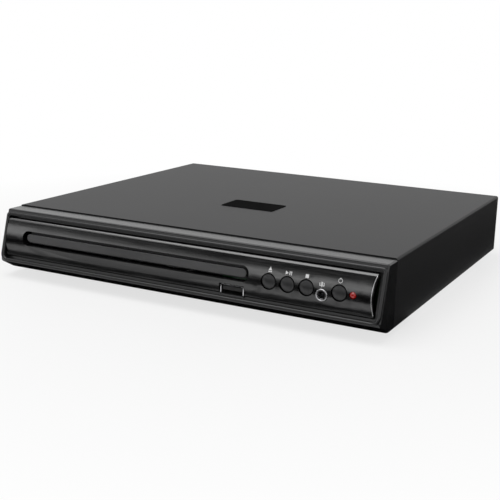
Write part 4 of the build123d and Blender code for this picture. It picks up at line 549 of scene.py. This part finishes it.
@dataclass
class PrintedMarks:
    """Small pale symbols over the keys, the jack and the power key, in millimetres."""

    carrier: str = "fascia_panel"
    front: float = -120.0
    places: tuple[tuple[Mark, float, float], ...] = (
        (Mark.EJECT, 54.3, 27.0),
        (Mark.PLAY_PAUSE, 64.0, 26.8),
        (Mark.STOP, 73.8, 26.7),
        (Mark.MICROPHONE, 81.8, 24.2),
        (Mark.STANDBY, 90.7, 27.0),
    )
    ring_corners: int = 28
    cuts: int = 2
    ink: float = 0.03
    lift: float = 0.015

    def bar(self, x: float, z: float, width: float, height: float) -> None:
        """Add an upright rectangle facing the front."""
        bpy.ops.mesh.primitive_plane_add(
            size=MM,
            location=(x * MM, self.front * MM, z * MM),
            rotation=(math.pi / 2, 0, 0),
        )
        bpy.context.active_object.scale = (width, height, 1.0)

    def disc(self, x: float, z: float, radius: float, corners: int, turn: float = 0.0) -> None:
        """Add an upright flat polygon facing the front.

        Args:
            x: its middle.
            z: its middle's height.
            radius: its radius.
            corners: its number of corners.
            turn: its turn about the front axis.
        """
        bpy.ops.mesh.primitive_circle_add(
            vertices=corners,
            radius=radius * MM,
            fill_type="NGON",
            location=(x * MM, self.front * MM, z * MM),
            rotation=(math.pi / 2, turn, 0),
        )

    def ring(self, x: float, z: float, radius: float, line: float) -> None:
        """Add an upright ring of one line width."""
        self.disc(x, z, radius, self.ring_corners)
        bpy.ops.object.mode_set(mode="EDIT")
        bpy.ops.mesh.select_all(action="SELECT")
        bpy.ops.mesh.inset(thickness=line * MM, depth=0.0)
        bpy.ops.mesh.delete(type="FACE")
        bpy.ops.object.mode_set(mode="OBJECT")

    def draw(self, stroke: Stroke, x: float, z: float) -> None:
        """Add one flat shape of a symbol.

        Args:
            stroke: the shape.
            x: the symbol's middle.
            z: the symbol's middle height.
        """
        x += stroke.place[0]
        z += stroke.place[1]
        if stroke.shape is Shape.BAR:
            self.bar(x, z, *stroke.size)
        elif stroke.shape is Shape.DISC:
            self.disc(x, z, *stroke.size, stroke.turn)
        else:
            self.ring(x, z, *stroke.size)

    def lay(self, symbol: bpy.types.Object) -> None:
        """Lay a flat symbol on the curved fascia and give it the ink's thickness."""
        bpy.ops.object.mode_set(mode="EDIT")
        bpy.ops.mesh.select_all(action="SELECT")
        bpy.ops.mesh.quads_convert_to_tris()
        bpy.ops.mesh.subdivide(number_cuts=self.cuts)
        bpy.ops.object.mode_set(mode="OBJECT")
        wrap = symbol.modifiers.new("lay", "SHRINKWRAP")
        wrap.target = FRAME["nodes"][self.carrier]
        wrap.wrap_method = "PROJECT"
        wrap.use_project_x = False
        wrap.use_project_y = True
        wrap.use_project_z = False
        wrap.use_positive_direction = True
        wrap.use_negative_direction = False
        wrap.offset = self.lift * MM
        bpy.ops.object.modifier_apply(modifier=wrap.name)
        thick = symbol.modifiers.new("ink", "SOLIDIFY")
        thick.thickness = self.ink * MM
        thick.offset = 1.0
        bpy.ops.object.modifier_apply(modifier=thick.name)

    def build(self) -> None:
        """Print every symbol on the fascia."""
        for mark, x, z in self.places:
            deselect()
            before = set(bpy.data.objects)
            for stroke in STROKES[mark]:
                self.draw(stroke, x, z)
            shapes = [obj for obj in bpy.data.objects if obj not in before]
            deselect()
            for obj in shapes:
                obj.select_set(True)
            bpy.context.view_layer.objects.active = shapes[0]
            bpy.ops.object.transform_apply(location=True, rotation=True, scale=True)
            if len(shapes) > 1:
                bpy.ops.object.join()
            symbol = bpy.context.active_object
            self.lay(symbol)
            settle(symbol, f"{mark.value}_mark", Palette.INK, "chassis")


# ---------------------------------------------------------------- front trim, painted highlight and painted shade
def touch(node: str, x: float, z: float) -> float:
    """Give the depth of a node's front face at one place.

    Args:
        node: the node's name.
        x: the place, in metres.
        z: its height, in metres.

    Returns:
        The face's y, in metres.
    """
    face = FRAME["nodes"][node]
    hit, place, _normal, _index = face.ray_cast((x, -1.0, z), (0.0, 1.0, 0.0))
    if not hit:
        raise ValueError(f"{node} has no face at {x:.4f}, {z:.4f}")
    return place.y


@dataclass
class PaintedEdgeHighlight:
    """Painted highlight: a thin bright metal bead along the hollow right end of the fascia, where
    there is only the edge's highlight, in millimetres.
    """

    carrier: str = "fascia_panel"
    corners: int = 10
    radius: float = 0.15
    inset: float = 0.35
    steps: int = 40
    hollow: float = 1.4
    end_margin: float = 1.3

    def build(self) -> None:
        """Sweep a fine bright bead up the edge as a painted highlight and lay it on the fascia.
        """
        low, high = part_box(self.carrier)
        bottom = low[2] + self.end_margin * MM
        top = high[2] - self.end_margin * MM
        half = (top - bottom) / 2
        deselect()
        bpy.ops.mesh.primitive_cylinder_add(
            vertices=self.corners,
            radius=self.radius * MM,
            depth=top - bottom,
            location=(high[0], low[1], (bottom + top) / 2),
        )
        bead = bpy.context.active_object
        bpy.ops.object.transform_apply(location=True, rotation=True, scale=True)
        bpy.ops.object.mode_set(mode="EDIT")
        for step in range(1, self.steps):
            height = bottom + (top - bottom) * step / self.steps
            bpy.ops.mesh.select_all(action="SELECT")
            bpy.ops.mesh.bisect(plane_co=(0, 0, height), plane_no=(0, 0, 1))
        bpy.ops.object.mode_set(mode="OBJECT")
        for vertex in bead.data.vertices:
            share = (vertex.co.z - (bottom + top) / 2) / half
            edge = high[0] - self.hollow * MM * (1.0 - share * share) - self.inset * MM
            vertex.co.x += edge - high[0]
            vertex.co.y += touch(self.carrier, edge - self.inset * MM, vertex.co.z) - low[1]
        only(bead)
        bpy.ops.object.shade_smooth()
        # the bright bead is a painted highlight along the fascia's end edge
        settle(bead, "fascia_painted_highlight", Palette.BRIGHT_EDGE, "chassis")


@dataclass
class SocketTrim:
    """Painted shade as dark sheets inside the two sockets' mouths, with the USB tongue's black
    skin and its gold contacts, in millimetres.
    """

    jack_place: tuple[float, float] = (82.0, 19.1)
    throat_corners: int = 48
    throat: float = 1.82
    throat_rim: float = 2.05
    throat_depth: float = 4.0
    sunk: float = 0.05
    usb_place: tuple[float, float] = (33.8, 13.5)
    usb_opening: tuple[float, float] = (12.26, 4.86)
    shade_wall: float = 0.3
    shade_depth: float = 9.0
    tongue: tuple[float, float] = (10.66, 1.86)
    tongue_middle: float = 0.8
    contacts: int = 4
    contact_pitch: float = 2.3
    contact_size: Colour = (1.0, 7.0, 0.1)

    def tube(self, name: str, thickness: float) -> None:
        """Give the active open shell a wall inward and settle it as a dark sheet of painted
        shade.

        Args:
            name: the piece's name.
            thickness: its wall.
        """
        shell = bpy.context.active_object
        wall = shell.modifiers.new("wall", "SOLIDIFY")
        wall.thickness = thickness * MM
        wall.offset = -1.0
        bpy.ops.object.modifier_apply(modifier=wall.name)
        settle(shell, name, Palette.LINER, "chassis")

    def jack_mouth_painted_shade(self) -> None:
        """Darken the jack's mouth with a black collar of painted shade."""
        x, z = self.jack_place
        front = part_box("microphone_jack")[0][1]
        deselect()
        bpy.ops.mesh.primitive_cylinder_add(
            vertices=self.throat_corners,
            radius=self.throat_rim * MM,
            depth=self.throat_depth * MM,
            end_fill_type="NOTHING",
            location=(x * MM, front + (self.throat_depth / 2 + self.sunk) * MM, z * MM),
            rotation=(math.pi / 2, 0, 0),
        )
        bpy.ops.object.transform_apply(location=True, rotation=True, scale=True)
        # the black collar is painted shade in the jack's metal bore
        self.tube("jack_mouth_painted_shade", self.throat_rim - self.throat)

    def block(self, middle: Colour, size: Colour) -> bpy.types.Object:
        """Add a box at a place in metres with a size in millimetres."""
        bpy.ops.mesh.primitive_cube_add(size=MM, location=middle)
        box = bpy.context.active_object
        box.scale = size
        bpy.ops.object.transform_apply(location=True, rotation=True, scale=True)
        return box

    def open_ends(self, shell: bpy.types.Object) -> None:
        """Take a box's front and back faces away."""
        bpy.ops.object.mode_set(mode="EDIT")
        bpy.ops.mesh.select_mode(type="FACE")
        bpy.ops.mesh.select_all(action="DESELECT")
        bpy.ops.object.mode_set(mode="OBJECT")
        for face in shell.data.polygons:
            face.select = abs(face.normal.y) > abs(face.normal.x) + abs(face.normal.z)
        bpy.ops.object.mode_set(mode="EDIT")
        bpy.ops.mesh.delete(type="FACE")
        bpy.ops.object.mode_set(mode="OBJECT")

    def usb_trim(self) -> None:
        """Darken the socket's shell with a dark sheet of painted shade, blacken its tongue and
        lay the contacts under it.
        """
        x, z = self.usb_place
        width, height = self.usb_opening
        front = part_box("usb_socket")[0][1]
        deep = front + (self.shade_depth / 2 + self.sunk) * MM
        deselect()
        self.open_ends(self.block((x * MM, deep, z * MM), (width, self.shade_depth, height)))
        # the black sheet is painted shade inside the metal shell
        self.tube("usb_shell_painted_shade", self.shade_wall)
        deselect()
        wide, thick = self.tongue
        tongue_z = z + self.tongue_middle
        skin = self.block(
            (x * MM, deep + self.shade_wall * MM, tongue_z * MM),
            (wide, self.shade_depth, thick),
        )
        settle(skin, "usb_tongue_skin", Palette.LINER, "chassis")
        under = tongue_z - thick / 2
        for index in range(self.contacts):
            deselect()
            offset = (index - (self.contacts - 1) / 2) * self.contact_pitch
            leaf = self.block(((x + offset) * MM, deep, under * MM), self.contact_size)
            settle(leaf, f"usb_contact_{index + 1}", Palette.GOLD, "chassis")

    def build(self) -> None:
        """Put painted shade into both sockets' mouths and dress the USB socket's tongue and
        contacts.
        """
        self.jack_mouth_painted_shade()
        self.usb_trim()


# ---------------------------------------------------------------- studio
@dataclass
class Studio:
    """Floor, lights, world and the camera at the photograph's place."""

    camera_place: Colour = (0.25327, -0.50185, 0.14739)
    yaw: float = 27.77
    pitch: float = 13.97
    roll: float = 1.338
    focal_pixels: float = 964.04
    image_pixels: float = 500.0
    sensor: float = 36.0
    clip: tuple[float, float] = (0.01, 50.0)
    floor_half: float = 6.0
    floor_tones: tuple[Colour, Colour] = ((0.78, 0.78, 0.78), (0.8, 0.8, 0.8))
    card_tones: tuple[Colour, Colour] = ((0.01, 0.01, 0.01), (0.014, 0.014, 0.014))
    near_white: float = 0.72
    shadow_reach: tuple[float, float] = (0.13, 0.34)
    ambient: float = 0.3
    lamps: tuple[tuple[str, Colour, Colour, tuple[float, float], float], ...] = (
        ("overhead_box", (-0.25, -0.3, 1.3), (0.0, 0.0, 0.0), (1.3, 1.1), 13.0),
        ("strip_box", (-0.85, -1.45, 0.42), (0.0, -0.1, 0.02), (1.8, 0.34), 1.6),
        ("right_box", (1.4, -0.8, 0.22), (0.0, -0.1, 0.02), (0.3, 0.3), 0.8),
    )
    flags: tuple[tuple[str, Colour, Colour, tuple[float, float]], ...] = (
        ("upper_flag", (-0.95, -1.6, 0.98), (0.0, -0.1, 0.02), (2.6, 0.62)),
        ("lower_flag", (-0.4, -0.8, 0.05), (0.0, -0.1, 0.05), (1.6, 0.1)),
        ("far_card", (-0.25, -0.74, 0.001), (-0.25, -0.74, 0.1), (2.0, 1.19)),
        ("chin_card", (0.0, -0.082, 0.001), (0.0, -0.082, 0.1), (0.24, 0.046)),
        ("side_card", (0.21, 0.2, 0.001), (0.21, 0.2, 0.1), (0.19, 0.66)),
    )

    def floor(self) -> None:
        """Lay the pale floor."""
        deselect()
        bpy.ops.mesh.primitive_plane_add(size=2 * self.floor_half, location=(0, 0, 0))
        plane = bpy.context.active_object
        plane.name = "studio_floor"
        graph = Graph("studio_floor")
        graph.set("Roughness", 0.9)
        graph.set("Specular IOR Level", 0.0)
        graph.feed("Base Color", graph.mixed(graph.noise(3.0), *self.floor_tones))
        reach = graph.nodes.new("ShaderNodeVectorMath")
        reach.operation = "LENGTH"
        graph.links.new(graph.place, reach.inputs[0])
        far = graph.spread(reach.outputs["Value"], self.near_white, 1.0, *self.shadow_reach)
        seen = graph.nodes.new("ShaderNodeMath")
        seen.operation = "MULTIPLY"
        graph.links.new(far, seen.inputs[0])
        path = graph.nodes.new("ShaderNodeLightPath")
        graph.links.new(path.outputs["Is Camera Ray"], seen.inputs[1])
        gloss = graph.nodes.new("ShaderNodeMath")
        gloss.operation = "MAXIMUM"
        graph.links.new(seen.outputs[0], gloss.inputs[0])
        graph.links.new(path.outputs["Is Glossy Ray"], gloss.inputs[1])
        white = graph.nodes.new("ShaderNodeEmission")
        mix = graph.nodes.new("ShaderNodeMixShader")
        graph.links.new(gloss.outputs[0], mix.inputs["Fac"])
        graph.links.new(graph.shader.outputs[0], mix.inputs[1])
        graph.links.new(white.outputs[0], mix.inputs[2])
        graph.links.new(mix.outputs[0], graph.nodes["Material Output"].inputs["Surface"])
        plane.data.materials.append(graph.material)

    def flag(self, name: str, place: Colour, aim: Colour, size: tuple[float, float]) -> None:
        """Stand one dark card that only the gloss shows.

        Args:
            name: the card's name.
            place: its middle.
            aim: the point that it faces.
            size: its width and height.
        """
        deselect()
        bpy.ops.mesh.primitive_plane_add(size=1.0, location=place)
        card = bpy.context.active_object
        card.name = name
        card.scale = (*size, 1.0)
        card.rotation_euler = (Vector(aim) - Vector(place)).to_track_quat("-Z", "Y").to_euler()
        graph = Graph(name)
        graph.feed("Base Color", graph.mixed(graph.noise(5.0), *self.card_tones))
        graph.set("Specular IOR Level", 0.0)
        card.data.materials.append(graph.material)
        card.visible_camera = False
        card.visible_diffuse = False
        card.visible_shadow = False

    def lamp(
        self, name: str, place: Colour, aim: Colour, size: tuple[float, float], watts: float
    ) -> None:
        """Hang one soft box.

        Args:
            name: the lamp's name.
            place: where it hangs.
            aim: the point that it faces.
            size: its width and height.
            watts: its power.
        """
        data = bpy.data.lights.new(name, "AREA")
        data.shape = "RECTANGLE"
        data.size, data.size_y = size
        data.energy = watts
        lamp = bpy.data.objects.new(name, data)
        lamp.location = place
        lamp.rotation_euler = (Vector(aim) - Vector(place)).to_track_quat("-Z", "Y").to_euler()
        bpy.context.scene.collection.objects.link(lamp)

    def world(self) -> None:
        """Make a plain pale world that the camera and gloss see as white."""
        world = bpy.data.worlds.new("studio_world")
        world.use_nodes = True
        bpy.context.scene.world = world
        nodes, links = world.node_tree.nodes, world.node_tree.links
        nodes.clear()
        path = nodes.new("ShaderNodeLightPath")
        seen = path.outputs["Is Camera Ray"]
        for ray in ("Is Glossy Ray", "Is Transmission Ray"):
            either = nodes.new("ShaderNodeMath")
            either.operation = "MAXIMUM"
            links.new(seen, either.inputs[0])
            links.new(path.outputs[ray], either.inputs[1])
            seen = either.outputs[0]
        ambient = nodes.new("ShaderNodeBackground")
        ambient.inputs["Color"].default_value = (1, 1, 1, 1)
        ambient.inputs["Strength"].default_value = self.ambient
        white = nodes.new("ShaderNodeBackground")
        white.inputs["Color"].default_value = (1, 1, 1, 1)
        white.inputs["Strength"].default_value = 1.0
        mix = nodes.new("ShaderNodeMixShader")
        out = nodes.new("ShaderNodeOutputWorld")
        links.new(seen, mix.inputs["Fac"])
        links.new(ambient.outputs[0], mix.inputs[1])
        links.new(white.outputs[0], mix.inputs[2])
        links.new(mix.outputs[0], out.inputs["Surface"])

    def camera(self) -> None:
        """Place the camera."""
        data = bpy.data.cameras.new("photo_camera")
        data.sensor_width = self.sensor
        data.sensor_fit = "HORIZONTAL"
        data.lens = self.focal_pixels / self.image_pixels * self.sensor
        data.clip_start, data.clip_end = self.clip
        camera = bpy.data.objects.new("photo_camera", data)
        camera.location = self.camera_place
        camera.rotation_mode = "XYZ"
        yaw, pitch, roll = (math.radians(a) for a in (self.yaw, self.pitch, self.roll))
        forward = Vector(
            (-math.sin(yaw) * math.cos(pitch), math.cos(yaw) * math.cos(pitch), -math.sin(pitch))
        )
        right = Vector((math.cos(yaw), math.sin(yaw), 0.0))
        up = right.cross(forward)
        tilted_right = math.cos(roll) * right + math.sin(roll) * up
        tilted_up = math.cos(roll) * up - math.sin(roll) * right
        matrix = camera.matrix_world.to_3x3()
        for row in range(3):
            matrix[row][0] = tilted_right[row]
            matrix[row][1] = tilted_up[row]
            matrix[row][2] = -forward[row]
        camera.rotation_euler = matrix.to_euler()
        bpy.context.scene.collection.objects.link(camera)
        bpy.context.scene.camera = camera

    def build(self) -> None:
        """Set up the whole studio."""
        self.floor()
        self.world()
        self.camera()
        for name, place, aim, size, watts in self.lamps:
            self.lamp(name, place, aim, size, watts)
        for name, place, aim, size in self.flags:
            self.flag(name, place, aim, size)
        bpy.context.scene.view_settings.view_transform = "Standard"


def main() -> None:
    """Build the looks in order."""
    logging.basicConfig(level=logging.INFO, format="%(name)s: %(message)s")
    Dressing().build()
    PrintedMarks().build()
    PaintedEdgeHighlight().build()
    SocketTrim().build()
    Studio().build()


if __name__ == "__main__":
    main()
